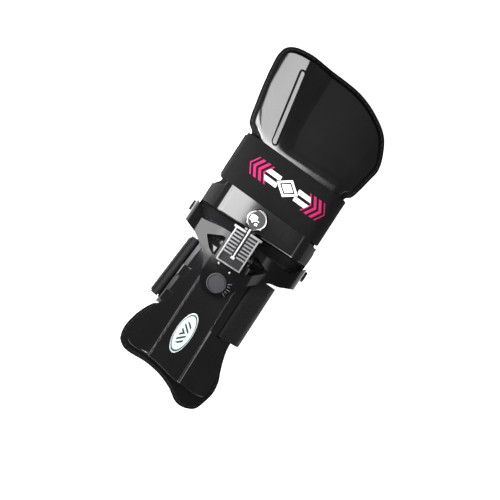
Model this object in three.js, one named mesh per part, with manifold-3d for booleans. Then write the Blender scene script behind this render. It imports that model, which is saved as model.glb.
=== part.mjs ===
// A rigid wrist brace for bowling, for a right hand, lying on its two strap loops with its plates up.
// Millimetres. +X runs to the little finger's side, +Y to the fingertips, +Z up from the back of the hand.
import * as THREE from "three";
import { mergeVertices } from "three/addons/utils/BufferGeometryUtils.js";
import Module from "manifold-3d";

const wasm = await Module();
wasm.setup();

// Walls and fits
const CLEARANCE = 0.35; // between pieces that touch
const PLATE_WALL = 1.6; // formed aluminium of the hand and forearm plates
const YOKE_WALL = 2.0; // formed steel of the yoke
const PAD_WALL = 3.2; // padding under both plates
const PAD_DEPTH = PLATE_WALL + 1.5 * CLEARANCE; // top of the padding under the top of its plate
const STRAP_WALL = 2.0;

// Yoke's length, from which the places along the brace follow
const YOKE_LENGTH = 54; // from behind the pivot to the ears' front
const YOKE_REAR = -53.6;
const EAR_FRONT = 6.2; // how far the yoke's ears reach past the hinge axis
const AXIS_Y = YOKE_REAR + YOKE_LENGTH - EAR_FRONT; // hinge axis at the wrist
const HINGE_SETBACK = 5.8; // hinge axis behind the hand plate
const PAD_SETBACK = 2.5; // rear edge of the hand pad behind the hinge axis

// Hand side
const HAND_LENGTH = 140.4; // pad, from its rear edge to the fingertips
const HAND_WIDTH = 106.6; // pad, across the fingers
const HAND_REAR = AXIS_Y - PAD_SETBACK; // rear edge of the hand pad
const HAND_TOP = 48; // top face of the hand plate above the floor
const HAND_PLATE_REAR = AXIS_Y + HINGE_SETBACK; // rear edge of the hand plate
const HAND_PAD_BORDER = 4.4; // how far the pad stands out past the plate
const CUP_DEPTH = 16; // how far the three-finger cup is bent down at the fingertips
const FLANGE_SLOPE = 1.1; // drop for each millimetre out, on the side flanges
const FOLD_RADIUS = 2.5;
const FLANGE_RADIUS = 6;
const BEAD_LENGTH = 58; // stiffening bead pressed beside the index finger
const BEAD_WIDTH = 6;
const BEAD_HEIGHT = 1.2;
const BEAD_MIDDLE = 0.705; // share of the pad's length
const FORK_WIDTH = 9; // tab at the plate's rear edge that lifts the plate
const FORK_WALL = 1.3;

// Hinge at the wrist
const AXIS_Z = 25;
const EAR_CENTRE_X = 1.7;
const EAR_INSET = 12; // ears narrower than the hand pad, both sides together
const EAR_SPAN = HAND_WIDTH - EAR_INSET; // over the outer faces of the yoke's ears
const EAR_RADIUS = 6;
const EAR_WALL = 1.6; // hand plate's ears
const EAR_ROOT_LENGTH = 16; // where an ear joins the hand plate's flange
const EAR_ROOT_DEPTH = 4.5;
const SCREW_RADIUS = 1.8;
const SCREW_HEAD_RADIUS = 4.2;
const SCREW_HEAD_HEIGHT = 1.9;
const NUT_HEIGHT = 1.2;

// Hand strap
const HAND_STRAP_WIDTH = 38;
const HAND_STRAP_PLACE = 39.5; // middle of the strap from the plate's rear edge
const HAND_STRAP_CENTRE = HAND_PLATE_REAR + HAND_STRAP_PLACE;
const HAND_STRAP_LEAN = 0.05; // the band slants back to the little finger's side
const HAND_STRAP_INSET = 19; // loop narrower than the hand pad, both sides together
const HAND_STRAP_OUT = HAND_WIDTH - HAND_STRAP_INSET; // over the sides of the loop
const HAND_STRAP_CENTRE_X = 2.4;

// Forearm side
const ARM_LENGTH = 117.7; // pad, from its rear tip to its wrist edge
const ARM_WIDTH = 80.6; // pad, across the flare
const ARM_REAR = -132.5; // rear tip of the forearm pad
const ARM_CENTRE_X = 0.3;
const ARM_TOP = 54; // top face of the raised panel
const FLAP_WALL = 2; // thin flap of the forearm pad, on over the wrist and under the hand pad
const FLAP_DROP = 5.2; // its front edge lies this far below the hand pad, clear of it in a swing too
const FLAP_TOP = HAND_TOP - PAD_DEPTH - PAD_WALL - FLAP_DROP;
const FLAP_BITE = 0.8; // how far its root lies in the pad
const ARM_PLATE_LENGTH = 97; // forearm plate, from the wrist end to its lip
const ARM_PLATE_REAR = -119;
const ARM_SPARE = 5.7; // radius of the arch over half the pad's width
const ARM_RADIUS = ARM_WIDTH / 2 + ARM_SPARE; // the arch over the forearm under the strap
const FLARE_SPARE = 14; // the arch at the rear end is flatter
const FLARE_RADIUS = ARM_RADIUS + FLARE_SPARE;
const PANEL_WIDTH = 28; // raised middle panel
const PANEL_RISE = 1.5;
const SLOT_INSET = 18.6; // strap slot on the little finger's side, from the pad's edge
const SLOT_X = ARM_WIDTH / 2 - SLOT_INSET;
const SLOT_WIDTH = 3.2;
const ARM_STRAP_WIDTH = 50;
const ARM_STRAP_CENTRE = -50;
const SLOT_SPARE = 1.2; // the slot is longer than the strap is wide, by this at each end
const ARM_STRAP_INSET = 5.6; // loop narrower than the forearm pad, both sides together
const ARM_STRAP_OUT = ARM_WIDTH - ARM_STRAP_INSET; // over the sides of the loop
const BAR_LENGTH = 53; // strap bar on the thumb's side
const BAR_WIDTH = 3.4;
const BAR_WALL = 1.2;
const BAR_INSET = 12.9; // from the pad's edge
const BAR_X = BAR_INSET - ARM_WIDTH / 2;
const BAR_LEAN = 0.078; // the thumb's side of the plate narrows to the wrist
const TAB_WIDTH = 9; // plate tabs over the bar
const TAB_PLACES = [-0.05, 0.36]; // from the bar's middle to the rear, as shares of its length
const BADGE_LENGTH = 32.4;
const BADGE_WIDTH = 13;
const BADGE_WALL = 0.7;
const BADGE_Y = -86.4;

// Yoke, over the wrist
const SHOULDER_DROP = 5.8; // arms, from the flat middle to the second bend
const EAR_TOP = 41; // where the ears turn straight down
const MIDDLE_WIDTH = 40.8; // flat middle of the yoke
const SHOULDER_INSET = 20.1;
const SHOULDER_WIDTH = EAR_SPAN - SHOULDER_INSET; // between the second bends
const PIVOT_PLACE = 10; // swivel pivot from the yoke's rear edge
const PIVOT_Y = YOKE_REAR + PIVOT_PLACE;
const PIVOT_RADIUS = 3;
const CAP_RADIUS = 7.3;
const CAP_HEIGHT = 3;

// Ratchet over the wrist
const MECH_X = -0.9;
const FRAME_LENGTH = 28.4;
const FRAME_WIDTH = 20;
const FRAME_HEIGHT = 4.6;
const FRAME_WALL = 1.2;
const FRAME_FLOOR = 1;
const FRONT_BAR_WIDTH = 23.2; // bar across the frame's front, standing out at both sides
const FRONT_BAR_LENGTH = 1.8;
const FRAME_SETBACK = 0.5; // behind the hand plate
const FRAME_FRONT = HAND_PLATE_REAR - FRAME_SETBACK;
const FRAME_LIFT = 3.1; // clear height of the frame over the yoke
const TOOTH_COUNT = 7;
const TOOTH_PITCH = 2.64;
const TOOTH_WIDTH = 1.3;
const TOOTH_HEIGHT = 2.7;
const FIRST_TOOTH = 4.0; // middle of the first tooth from the frame's front
const CHANNEL_WIDTH = 3.8; // open way between the two rows of teeth
const TRUNNION_PLACE = 17.1; // behind the frame's front
const TRUNNION_Y = FRAME_FRONT - TRUNNION_PLACE;
const TRUNNION_RISE = 2; // over the frame's underside
const TRUNNION_RADIUS = 0.9;
const LUG_SPAN = 23.6; // between the inner faces of the yoke's lugs
const LUG_WALL = 1.4;
const LUG_LENGTH = 14.7;
const LUG_TAIL = 9.6; // behind the trunnion
const LUG_REAR = TRUNNION_Y - LUG_TAIL;
const LUG_CREST = 5.2; // length of the lug's top
const LUG_SHOULDER = 0.45; // height of the lug's ends, as a share of its own
const ROD_RADIUS = 0.8;
const ROD_RISE = 3.2; // rod's middle over the frame's underside
const FOOT_WIDTH = 3.1;
const FOOT_LENGTH = 2.1;
const FOOT_HEIGHT = 1.8;
const NECK_RADIUS = 1.5;
const BALL_RADIUS = 8.3;
const BALL_REACH = 10.2; // middle of the ball from the frame's front
const BALL_Y = FRAME_FRONT + BALL_REACH;

// Places that follow from the sizes above
const YOKE_TOP = ARM_TOP + CLEARANCE + YOKE_WALL;
const FRAME_BOTTOM = YOKE_TOP + FRAME_LIFT;
const ROD_Z = FRAME_BOTTOM + ROD_RISE;
const TRUNNION_Z = FRAME_BOTTOM + TRUNNION_RISE;
const LUG_TOP = TRUNNION_Z + TRUNNION_RADIUS + CLEARANCE + 0.8;
const YOKE_EAR_OUT = EAR_SPAN / 2;
const HAND_EAR_OUT = YOKE_EAR_OUT - YOKE_WALL - CLEARANCE;
const HAND_EAR_IN = HAND_EAR_OUT - EAR_WALL;
const FAR = 400; // longer than the whole brace, for cuts that run right through

// Outline of the hand pad, from the rear edge on the thumb's side round the fingertips.
// across is a share of half the pad's width, along of its length.
const HAND_OUTLINE = [
  { across: -0.775, along: -0.011 },
  { across: -0.8, along: 0.165 },
  { across: -0.725, along: 0.212 },
  { across: -0.725, along: 0.495 },
  { across: -0.83, along: 0.535 },
  { across: -0.892, along: 0.626 },
  { across: -0.946, along: 0.728 },
  { across: -0.986, along: 0.831 },
  { across: -1, along: 0.908 },
  { across: -0.959, along: 0.959 },
  { across: -0.824, along: 0.99 },
  { across: -0.554, along: 1 },
  { across: -0.014, along: 0.99 },
  { across: 0.257, along: 0.974 },
  { across: 0.527, along: 0.933 },
  { across: 0.797, along: 0.862 },
  { across: 0.932, along: 0.779 },
  { across: 1, along: 0.692 },
  { across: 0.973, along: 0.626 },
  { across: 0.932, along: 0.549 },
  { across: 0.895, along: 0.5 },
  { across: 0.82, along: 0.47 },
  { across: 0.82, along: 0.182 },
  { across: 0.88, along: 0.145 },
  { across: 0.86, along: -0.011 },
];

// Sections across the hand, from the wrist to the fingertips. The left and right bends to the flanges, the
// fold and the crease are shares of half the width, the slopes of the left and right flange shares of the
// flanges' slope, and the cup a share of its depth.
const HAND_SECTIONS = [
  { along: -0.02, left: -0.554, fold: -0.33, crease: -0.2, right: 0.69, slopes: [1, 1], cup: 0 },
  { along: 0.22, left: -0.554, fold: -0.33, crease: -0.2, right: 0.69, slopes: [1, 1], cup: 0 },
  { along: 0.49, left: -0.554, fold: -0.33, crease: -0.2, right: 0.69, slopes: [1, 1], cup: 0 },
  { along: 0.515, left: -0.62, fold: -0.33, crease: -0.18, right: 0.7, slopes: [0.5, 0.75], cup: 0.02 },
  { along: 0.545, left: -0.72, fold: -0.33, crease: -0.16, right: 0.72, slopes: [0.3, 0.55], cup: 0.1 },
  { along: 0.626, left: -0.84, fold: -0.37, crease: -0.22, right: 0.76, slopes: [0.2, 0.4], cup: 0.28 },
  { along: 0.754, left: -0.92, fold: -0.45, crease: -0.25, right: 0.8, slopes: [0.16, 0.32], cup: 0.53 },
  { along: 0.882, left: -0.94, fold: -0.51, crease: -0.255, right: 0.8, slopes: [0.16, 0.3], cup: 0.78 },
  { along: 1.02, left: -0.94, fold: -0.56, crease: -0.26, right: 0.8, slopes: [0.16, 0.3], cup: 1.02 },
];

// Outline of the forearm pad, from the wrist edge on the thumb's side round the rear end.
const ARM_OUTLINE = [
  { across: -0.555, along: 1 },
  { across: -0.57, along: 0.927 },
  { across: -0.62, along: 0.731 },
  { across: -0.672, along: 0.474 },
  { across: -0.8, along: 0.43 },
  { across: -0.918, along: 0.352 },
  { across: -0.97, along: 0.291 },
  { across: -1, along: 0.23 },
  { across: -0.985, along: 0.18 },
  { across: -0.935, along: 0.138 },
  { across: -0.76, along: 0.107 },
  { across: -0.345, along: 0.113 },
  { across: -0.11, along: 0.104 },
  { across: 0.065, along: 0.089 },
  { across: 0.245, along: 0.064 },
  { across: 0.37, along: 0.04 },
  { across: 0.51, along: 0.009 },
  { across: 0.62, along: 0 },
  { across: 0.76, along: 0.008 },
  { across: 0.885, along: 0.034 },
  { across: 0.96, along: 0.101 },
  { across: 1, along: 0.168 },
  { across: 0.975, along: 0.242 },
  { across: 0.905, along: 0.303 },
  { across: 0.83, along: 0.376 },
  { across: 0.78, along: 0.456 },
  { across: 0.74, along: 0.731 },
  { across: 0.67, along: 0.927 },
  { across: 0.6, along: 1 },
];

// Half outline of the pad's wrist flap: across as a share of half the pad's width, behind the hinge axis.
const FLAP_OUTLINE = [
  { across: 0.5, behind: 0 },
  { across: 0.6, behind: 4.5 },
  { across: 0.66, behind: 9.5 },
  { across: 0.62, behind: 24 },
];

// Sections of the flap behind the hinge axis. It lies under the pad, then runs down below the hand pad.
const FLAP_SECTIONS = [
  { behind: 25, low: false },
  { behind: 18, low: false },
  { behind: -1, low: true },
];

// Outline of the forearm plate, across as a share of half the pad's width, along as a share of the plate's
// length from its rear lip.
const ARM_PLATE_OUTLINE = [
  { across: -0.53, along: 1 },
  { across: -0.6, along: 0.93 },
  { across: -0.7, along: 0.42 },
  { across: -0.78, along: 0.33 },
  { across: -0.86, along: 0.2 },
  { across: -0.875, along: 0.13 },
  { across: -0.8, along: 0.06 },
  { across: -0.68, along: 0.045 },
  { across: -0.36, along: 0.05 },
  { across: -0.11, along: 0.04 },
  { across: 0.16, along: 0.015 },
  { across: 0.4, along: 0 },
  { across: 0.86, along: 0 },
  { across: 0.91, along: 0.07 },
  { across: 0.875, along: 0.2 },
  { across: 0.8, along: 0.3 },
  { across: 0.74, along: 0.42 },
  { across: 0.74, along: 0.93 },
  { across: 0.55, along: 1 },
];

// Outline of the yoke, from the front of the thumb's side ear over the wrist and back round the pivot.
// across is a share of half the span over the ears, along of the yoke's length from its rear.
const YOKE_OUTLINE = [
  { across: -1.03, along: 1.02 },
  { across: -0.95, along: 0.97 },
  { across: -0.873, along: 0.867 },
  { across: -0.781, along: 0.805 },
  { across: -0.634, along: 0.822 },
  { across: -0.477, along: 0.847 },
  { across: -0.325, along: 0.855 },
  { across: 0.223, along: 0.855 },
  { across: 0.405, along: 0.843 },
  { across: 0.588, along: 0.826 },
  { across: 0.79, along: 0.805 },
  { across: 0.89, along: 0.867 },
  { across: 0.96, along: 0.97 },
  { across: 1.03, along: 1.02 },
  { across: 1.03, along: 0.675 },
  { across: 0.965, along: 0.655 },
  { across: 0.766, along: 0.58 },
  { across: 0.619, along: 0.56 },
  { across: 0.451, along: 0.443 },
  { across: 0.341, along: 0.347 },
  { across: 0.259, along: 0.227 },
  { across: 0.19, along: 0.107 },
  { across: 0.09, along: 0.027 },
  { across: -0.063, along: 0 },
  { across: -0.21, along: 0.027 },
  { across: -0.315, along: 0.12 },
  { across: -0.365, along: 0.267 },
  { across: -0.474, along: 0.448 },
  { across: -0.615, along: 0.52 },
  { across: -0.753, along: 0.6 },
  { across: -0.965, along: 0.665 },
  { across: -1.03, along: 0.675 },
];

// Three-cornered windows of the yoke. out is a share of the way from a lug to the ear.
const WINDOW_OUTLINE = [
  { out: 0, along: 0.77 },
  { out: 0.07, along: 0.757 },
  { out: 0.38, along: 0.666 },
  { out: 0.16, along: 0.527 },
  { out: 0, along: 0.475 },
];

// Closed solid from a geometry: equal corners shared, flat slivers dropped and faces turned outward.
function solidOf(geometry) {
  const bare = geometry.index ? geometry.toNonIndexed() : geometry.clone();
  bare.deleteAttribute("normal");
  bare.deleteAttribute("uv");
  const merged = mergeVertices(bare, 1e-4);
  const corners = merged.index.array;
  const faces = [];
  for (let i = 0; i < corners.length; i += 3) {
    const [a, b, c] = [corners[i], corners[i + 1], corners[i + 2]];
    if (a !== b && b !== c && c !== a) faces.push([a, b, c]);
  }
  const make = (list) =>
    new wasm.Manifold(
      new wasm.Mesh({
        numProp: 3,
        vertProperties: merged.attributes.position.array,
        triVerts: new Uint32Array(list.flat()),
      }),
    );
  const made = make(faces);
  return made.volume() < 0 ? make(faces.map(([a, b, c]) => [a, c, b])) : made;
}

// Geometry of a solid, with shared corners.
function geometryOf(solid) {
  const mesh = solid.getMesh();
  const count = mesh.vertProperties.length / mesh.numProp;
  const places = new Float32Array(count * 3);
  for (let i = 0; i < count; i++) {
    places.set(mesh.vertProperties.subarray(i * mesh.numProp, i * mesh.numProp + 3), i * 3);
  }
  const geometry = new THREE.BufferGeometry();
  geometry.setAttribute("position", new THREE.BufferAttribute(places, 3));
  geometry.setIndex(new THREE.BufferAttribute(new Uint32Array(mesh.triVerts), 1));
  geometry.computeVertexNormals();
  return geometry;
}

const X_AXIS = new THREE.Vector3(1, 0, 0);
const Y_AXIS = new THREE.Vector3(0, 1, 0);
const Z_AXIS = new THREE.Vector3(0, 0, 1);
// Turns that stand a flat outline across each axis: its two columns are then y z, x z or x y.
const STANDING = {
  x: new THREE.Matrix4().makeBasis(Y_AXIS, Z_AXIS, X_AXIS),
  y: new THREE.Matrix4().makeBasis(X_AXIS, Z_AXIS, Y_AXIS.clone().negate()),
  z: new THREE.Matrix4(),
};

// Solid of a flat outline, pushed along an axis between two places.
function slab(axis, outline, from, to) {
  const shape = new THREE.Shape(outline.map(([a, b]) => new THREE.Vector2(a, b)));
  const geometry = new THREE.ExtrudeGeometry(shape, { depth: to - from, bevelEnabled: false });
  geometry.translate(0, 0, axis === "y" ? -to : from);
  return solidOf(geometry.applyMatrix4(STANDING[axis]));
}

// Round bar along an axis between two places; centre holds its other two coordinates.
function roundBar(axis, radius, centre, from, to, sides = 20) {
  const outline = [];
  for (let i = 0; i < sides; i++) {
    const turn = (2 * Math.PI * i) / sides;
    outline.push([centre[0] + radius * Math.cos(turn), centre[1] + radius * Math.sin(turn)]);
  }
  return slab(axis, outline, from, to);
}

// Block between two corners.
function block(low, high) {
  const [x, y, z] = low;
  const [p, q, r] = high;
  return slab("z", [[x, y], [p, y], [p, q], [x, q]], z, r);
}

// Solid turned about an axis from a profile of [radius, place] that starts and ends on it.
function turned(axis, profile, centre, sides = 24) {
  const points = profile.map(([radius, place]) => new THREE.Vector2(radius, place));
  const geometry = new THREE.LatheGeometry(points, sides);
  if (axis === "x") geometry.rotateZ(-Math.PI / 2);
  if (axis === "z") geometry.rotateX(Math.PI / 2);
  return solidOf(geometry.translate(...centre));
}

// Corners of a line rounded over a length, each with the same count of points.
function rounded(points, radius, closed = false, steps = 2) {
  const count = points.length;
  const made = [];
  points.forEach(([x, y], i) => {
    if (!closed && (i === 0 || i === count - 1)) {
      made.push([x, y]);
      return;
    }
    const before = points[(i + count - 1) % count];
    const after = points[(i + 1) % count];
    const back = Math.hypot(before[0] - x, before[1] - y);
    const on = Math.hypot(after[0] - x, after[1] - y);
    const reach = Math.min(radius, 0.45 * back, 0.45 * on);
    const start = [x + ((before[0] - x) * reach) / back, y + ((before[1] - y) * reach) / back];
    const end = [x + ((after[0] - x) * reach) / on, y + ((after[1] - y) * reach) / on];
    for (let k = 0; k <= steps; k++) {
      const t = k / steps;
      const [p, q, r] = [(1 - t) * (1 - t), 2 * t * (1 - t), t * t];
      made.push([p * start[0] + q * x + r * end[0], p * start[1] + q * y + r * end[1]]);
    }
  });
  return made;
}

// Smooth line through points.
function smooth(points, count) {
  const line = new THREE.CatmullRomCurve3(
    points.map(([x, y]) => new THREE.Vector3(x, y, 0)),
    false,
    "centripetal",
  );
  return line.getPoints(count).map((p) => [p.x, p.y]);
}

// Line moved sideways: positive to the left of its way.
function offset(points, distance, closed = false) {
  const count = points.length;
  return points.map(([x, y], i) => {
    const before = points[closed ? (i + count - 1) % count : Math.max(i - 1, 0)];
    const after = points[closed ? (i + 1) % count : Math.min(i + 1, count - 1)];
    const normals = [[before, [x, y]], [[x, y], after]]
      .map(([a, b]) => new THREE.Vector2(a[1] - b[1], b[0] - a[0]))
      .filter((n) => n.length() > 1e-9)
      .map((n) => n.normalize());
    const sum = normals.reduce((a, b) => a.clone().add(b)).normalize();
    const miter = distance / Math.max(0.5, sum.dot(normals[0]));
    return [x + sum.x * miter, y + sum.y * miter];
  });
}

// Sheet lofted along Y through sections of the same count of points. Its top face lies depth under them.
function sheet(sections, depth, wall) {
  const rings = sections.map(({ y, profile }) => {
    const top = offset(profile, -depth);
    const under = offset(profile, -depth - wall).reverse();
    return [...top, ...under].map(([x, z]) => [x, y, z]);
  });
  const size = rings[0].length;
  const half = size / 2;
  const faces = [];
  const quad = (a, b, c, d) => faces.push(a, b, c, a, c, d);
  for (let k = 0; k + 1 < rings.length; k++) {
    for (let i = 0; i < size; i++) {
      const j = (i + 1) % size;
      quad(rings[k][i], rings[k][j], rings[k + 1][j], rings[k + 1][i]);
    }
  }
  const [first, last] = [rings[0], rings[rings.length - 1]];
  for (let i = 0; i + 1 < half; i++) {
    const [u, v] = [size - 1 - i, size - 2 - i];
    quad(first[i], first[u], first[v], first[i + 1]);
    quad(last[i], last[i + 1], last[v], last[u]);
  }
  const geometry = new THREE.BufferGeometry();
  geometry.setAttribute("position", new THREE.BufferAttribute(new Float32Array(faces.flat()), 3));
  return solidOf(geometry);
}

// Band of a wall's thickness along a line of [x, z], with a width along Y.
function band(line, wall, centre, width) {
  const outer = offset(line, wall / 2);
  const inner = offset(line, -wall / 2).reverse();
  return slab("y", [...outer, ...inner], centre - width / 2, centre + width / 2);
}

// Moves each corner of a solid.
function warped(solid, move) {
  const geometry = geometryOf(solid);
  const places = geometry.attributes.position;
  for (let i = 0; i < places.count; i++) {
    const p = new THREE.Vector3().fromBufferAttribute(places, i);
    places.setXYZ(i, ...move(p).toArray());
  }
  return solidOf(geometry);
}

const group = new THREE.Group();

// Adds a solid to the brace as a named mesh.
function add(name, solid, color, roughness, metalness) {
  const material = new THREE.MeshStandardMaterial({ color, roughness, metalness });
  const mesh = new THREE.Mesh(geometryOf(solid), material);
  mesh.name = name;
  group.add(mesh);
}

// Hand plate and hand pad

const handAt = ({ across, along }) => [
  (across * HAND_WIDTH) / 2,
  HAND_REAR + along * HAND_LENGTH,
];

const handSections = HAND_SECTIONS.map((row) => {
  const half = HAND_WIDTH / 2;
  const edge = half + PAD_WALL;
  const cup = HAND_TOP - row.cup * CUP_DEPTH;
  const fall = (out, share) => out * share * FLANGE_SLOPE;
  const leftBend = [row.left * half, HAND_TOP];
  const rightBend = [row.right * half, cup];
  const line = [
    [-edge, HAND_TOP - fall(edge + leftBend[0], row.slopes[0])],
    leftBend,
    [row.fold * half, HAND_TOP],
    [row.crease * half, cup],
    rightBend,
    [edge, cup - fall(edge - rightBend[0], row.slopes[1])],
  ];
  const bends = rounded(line, FLANGE_RADIUS);
  const folds = rounded(line, FOLD_RADIUS);
  const profile = bends.map((point, i) => (i > 3 && i < 10 ? folds[i] : point));
  return { y: HAND_REAR + row.along * HAND_LENGTH, profile };
});

const handPadLine = smooth(HAND_OUTLINE.map(handAt), 70);
const handPlateLine = offset(handPadLine, -HAND_PAD_BORDER, true);

const earRootFront = HAND_PLATE_REAR + EAR_ROOT_LENGTH;

// Ear of the hand plate in y z, from the flange down round the hinge axis.
function handEarLine(side) {
  const bend = (HAND_WIDTH / 2) * (side < 0 ? -HAND_SECTIONS[0].left : HAND_SECTIONS[0].right);
  const top = HAND_TOP - FLANGE_SLOPE * (HAND_EAR_OUT + side * EAR_CENTRE_X - bend);
  const line = [
    [earRootFront, top],
    [earRootFront, top - EAR_ROOT_DEPTH],
  ];
  for (let turn = -60; turn >= -210; turn -= 15) {
    const a = (turn * Math.PI) / 180;
    line.push([AXIS_Y + EAR_RADIUS * Math.cos(a), AXIS_Z + EAR_RADIUS * Math.sin(a)]);
  }
  line.push([HAND_PLATE_REAR, top]);
  return line;
}

const sides = [-1, 1];
const rodSlotHalf = NECK_RADIUS + CLEARANCE;

function handPlate() {
  const blank = sheet(handSections, 0, PLATE_WALL);
  const behind = block([-FAR, -FAR, -FAR], [FAR, HAND_PLATE_REAR, FAR]);
  const earZone = block(
    [EAR_CENTRE_X - HAND_EAR_OUT, HAND_PLATE_REAR, 0],
    [EAR_CENTRE_X + HAND_EAR_OUT, earRootFront, FAR],
  );
  let plate = blank.intersect(slab("z", handPlateLine, 0, FAR).add(earZone)).subtract(behind);
  for (const side of sides) {
    const faces = [HAND_EAR_IN, HAND_EAR_OUT].map((out) => EAR_CENTRE_X + side * out);
    plate = plate.add(slab("x", handEarLine(side), Math.min(...faces), Math.max(...faces)));
  }
  plate = plate.add(rodFork()).add(bead());
  const axle = roundBar("x", SCREW_RADIUS + CLEARANCE, [AXIS_Y, AXIS_Z], -FAR, FAR);
  return plate.subtract(axle);
}

// Upright tab bent up from the plate's rear edge, notched for the lifting rod's neck.
function rodFork() {
  const foot = HAND_TOP - PLATE_WALL / 2;
  const top = ROD_Z + NECK_RADIUS;
  const [left, right] = [MECH_X - FORK_WIDTH / 2, MECH_X + FORK_WIDTH / 2];
  const face = rounded([[left, foot], [right, foot], [right, top], [left, top]], FORK_WALL, true);
  const tab = slab("y", face, HAND_PLATE_REAR, HAND_PLATE_REAR + FORK_WALL);
  const notch = block(
    [MECH_X - rodSlotHalf, -FAR, ROD_Z - 1.5 * rodSlotHalf],
    [MECH_X + rodSlotHalf, FAR, FAR],
  );
  return tab.subtract(notch);
}

// Stiffening bead beside the index finger, along the fold.
function bead() {
  const reach = BEAD_LENGTH / 2 - BEAD_WIDTH / 2;
  const line = [];
  for (const end of sides) {
    for (let i = 0; i <= 6; i++) {
      const turn = (Math.PI * i) / 6 - (end < 0 ? Math.PI : 0);
      line.push([(Math.cos(turn) * BEAD_WIDTH) / 2, end * reach + (Math.sin(turn) * BEAD_WIDTH) / 2]);
    }
  }
  const foldAt = (along) => {
    const next = HAND_SECTIONS.findIndex((row) => row.along > along);
    const [a, b] = [HAND_SECTIONS[next - 1], HAND_SECTIONS[next]];
    return a.fold + ((b.fold - a.fold) * (along - a.along)) / (b.along - a.along);
  };
  const share = reach / HAND_LENGTH;
  const drift = foldAt(BEAD_MIDDLE + share) - foldAt(BEAD_MIDDLE - share);
  const lean = (drift * HAND_WIDTH) / 2 / (2 * reach);
  const x = (foldAt(BEAD_MIDDLE) * HAND_WIDTH) / 2 - BEAD_WIDTH / 2 - FOLD_RADIUS * 0.2;
  const y = HAND_REAR + BEAD_MIDDLE * HAND_LENGTH;
  const placed = line.map(([p, q]) => [x + p + q * lean, y + q]);
  return slab("z", placed, HAND_TOP - PLATE_WALL / 2, HAND_TOP + BEAD_HEIGHT);
}

function handPad() {
  const blank = sheet(handSections, PAD_DEPTH, PAD_WALL);
  let pad = blank.intersect(slab("z", handPadLine, 0, FAR));
  for (const side of sides) {
    const face = EAR_CENTRE_X + side * (HAND_EAR_IN - NUT_HEIGHT - 2 * CLEARANCE);
    const [low, high] = side < 0 ? [-FAR, face] : [face, FAR];
    pad = pad.subtract(block([low, -FAR, 0], [high, earRootFront + CLEARANCE, FAR]));
  }
  return pad;
}

// Hand strap: one loop over the plate and round under the palm.
function handStrap() {
  const half = HAND_STRAP_OUT / 2 - STRAP_WALL;
  const top = HAND_TOP + CLEARANCE;
  const gap = FLANGE_RADIUS * 0.1;
  const left = HAND_SECTIONS[1].left * (HAND_WIDTH / 2);
  const right = HAND_SECTIONS[1].right * (HAND_WIDTH / 2);
  const [lowX, highX] = [HAND_STRAP_CENTRE_X - half, HAND_STRAP_CENTRE_X + half];
  const shoulder = (bend, edge) => top - (Math.abs(edge - bend) - 0.4 * STRAP_WALL) * FLANGE_SLOPE;
  const inner = [
    [left - gap, top + 0.25],
    [lowX, shoulder(left, lowX)],
    [lowX, 0.4 * HAND_TOP],
    [lowX + 0.08 * half, 0.16 * HAND_TOP],
    [lowX + 0.3 * half, STRAP_WALL],
    [highX - 0.3 * half, STRAP_WALL],
    [highX - 0.08 * half, 0.16 * HAND_TOP],
    [highX, 0.4 * HAND_TOP],
    [highX, shoulder(right, highX)],
    [right + gap, top + 0.25],
  ];
  const hollow = rounded(inner, 5, true, 3);
  const skin = offset(hollow, -STRAP_WALL, true);
  const [from, to] = [HAND_STRAP_CENTRE - HAND_STRAP_WIDTH / 2, HAND_STRAP_CENTRE + HAND_STRAP_WIDTH / 2];
  const loop = slab("y", skin, from, to).subtract(slab("y", hollow, from - 1, to + 1));
  return warped(loop, (p) => p.setY(p.y - (p.x - HAND_STRAP_CENTRE_X) * HAND_STRAP_LEAN));
}

// Forearm plate, pad, strap, strap bar and badge

const armAt = ({ across, along }) => [
  ARM_CENTRE_X + (across * ARM_WIDTH) / 2,
  ARM_REAR + along * ARM_LENGTH,
];
const armPlateAt = ({ across, along }) => [
  ARM_CENTRE_X + (across * ARM_WIDTH) / 2,
  ARM_PLATE_REAR + along * ARM_PLATE_LENGTH,
];

// How far the arch over the forearm lies under the panel's foot, at a place out from the middle.
function archDrop(out, radius) {
  const sink = (x) => radius - Math.sqrt(radius * radius - x * x);
  return sink(Math.max(Math.abs(out), PANEL_WIDTH / 2)) - sink(PANEL_WIDTH / 2);
}

const archAt = (x, radius = ARM_RADIUS) =>
  ARM_TOP - PANEL_RISE - archDrop(x - ARM_CENTRE_X, radius);

// Places across the forearm where its sections have a point, as shares of half the pad's width.
const ARCH_SHARES = [1.06, 0.9, 0.75, 0.6, 0.46];

// The arch flattens from the strap to the rear end between these two places, as shares of the pad's length.
const FLARE_ENDS = [0.2, 0.44];

function armSections(withPanel) {
  const places = [-0.02, 0.2, 0.26, 0.32, 0.38, 0.44, 1.02];
  return places.map((along) => {
    const share = THREE.MathUtils.smoothstep(along, ...FLARE_ENDS);
    const radius = FLARE_RADIUS + share * (ARM_RADIUS - FLARE_RADIUS);
    const side = ARCH_SHARES.map((out) => (out * ARM_WIDTH) / 2);
    const foot = PANEL_WIDTH / 2;
    const left = side.map((out) => [-out, archAt(ARM_CENTRE_X - out, radius)]);
    const right = side.map((out) => [out, archAt(ARM_CENTRE_X + out, radius)]).reverse();
    const low = ARM_TOP - PANEL_RISE;
    const panel = [
      [-foot - PANEL_RISE / 2, low],
      [-foot + PANEL_RISE / 2, ARM_TOP],
      [foot - PANEL_RISE / 2, ARM_TOP],
      [foot + PANEL_RISE / 2, low],
    ];
    const flat = [
      [-foot, low],
      [foot, low],
    ];
    const line = [...left, ...(withPanel ? panel : flat), ...right];
    return { y: ARM_REAR + along * ARM_LENGTH, profile: line.map(([x, z]) => [x + ARM_CENTRE_X, z]) };
  });
}

// The strap bar lies under the plate's tabs on the thumb's side, leaning with the plate's edge.
const barY = ARM_STRAP_CENTRE - 2;

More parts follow.
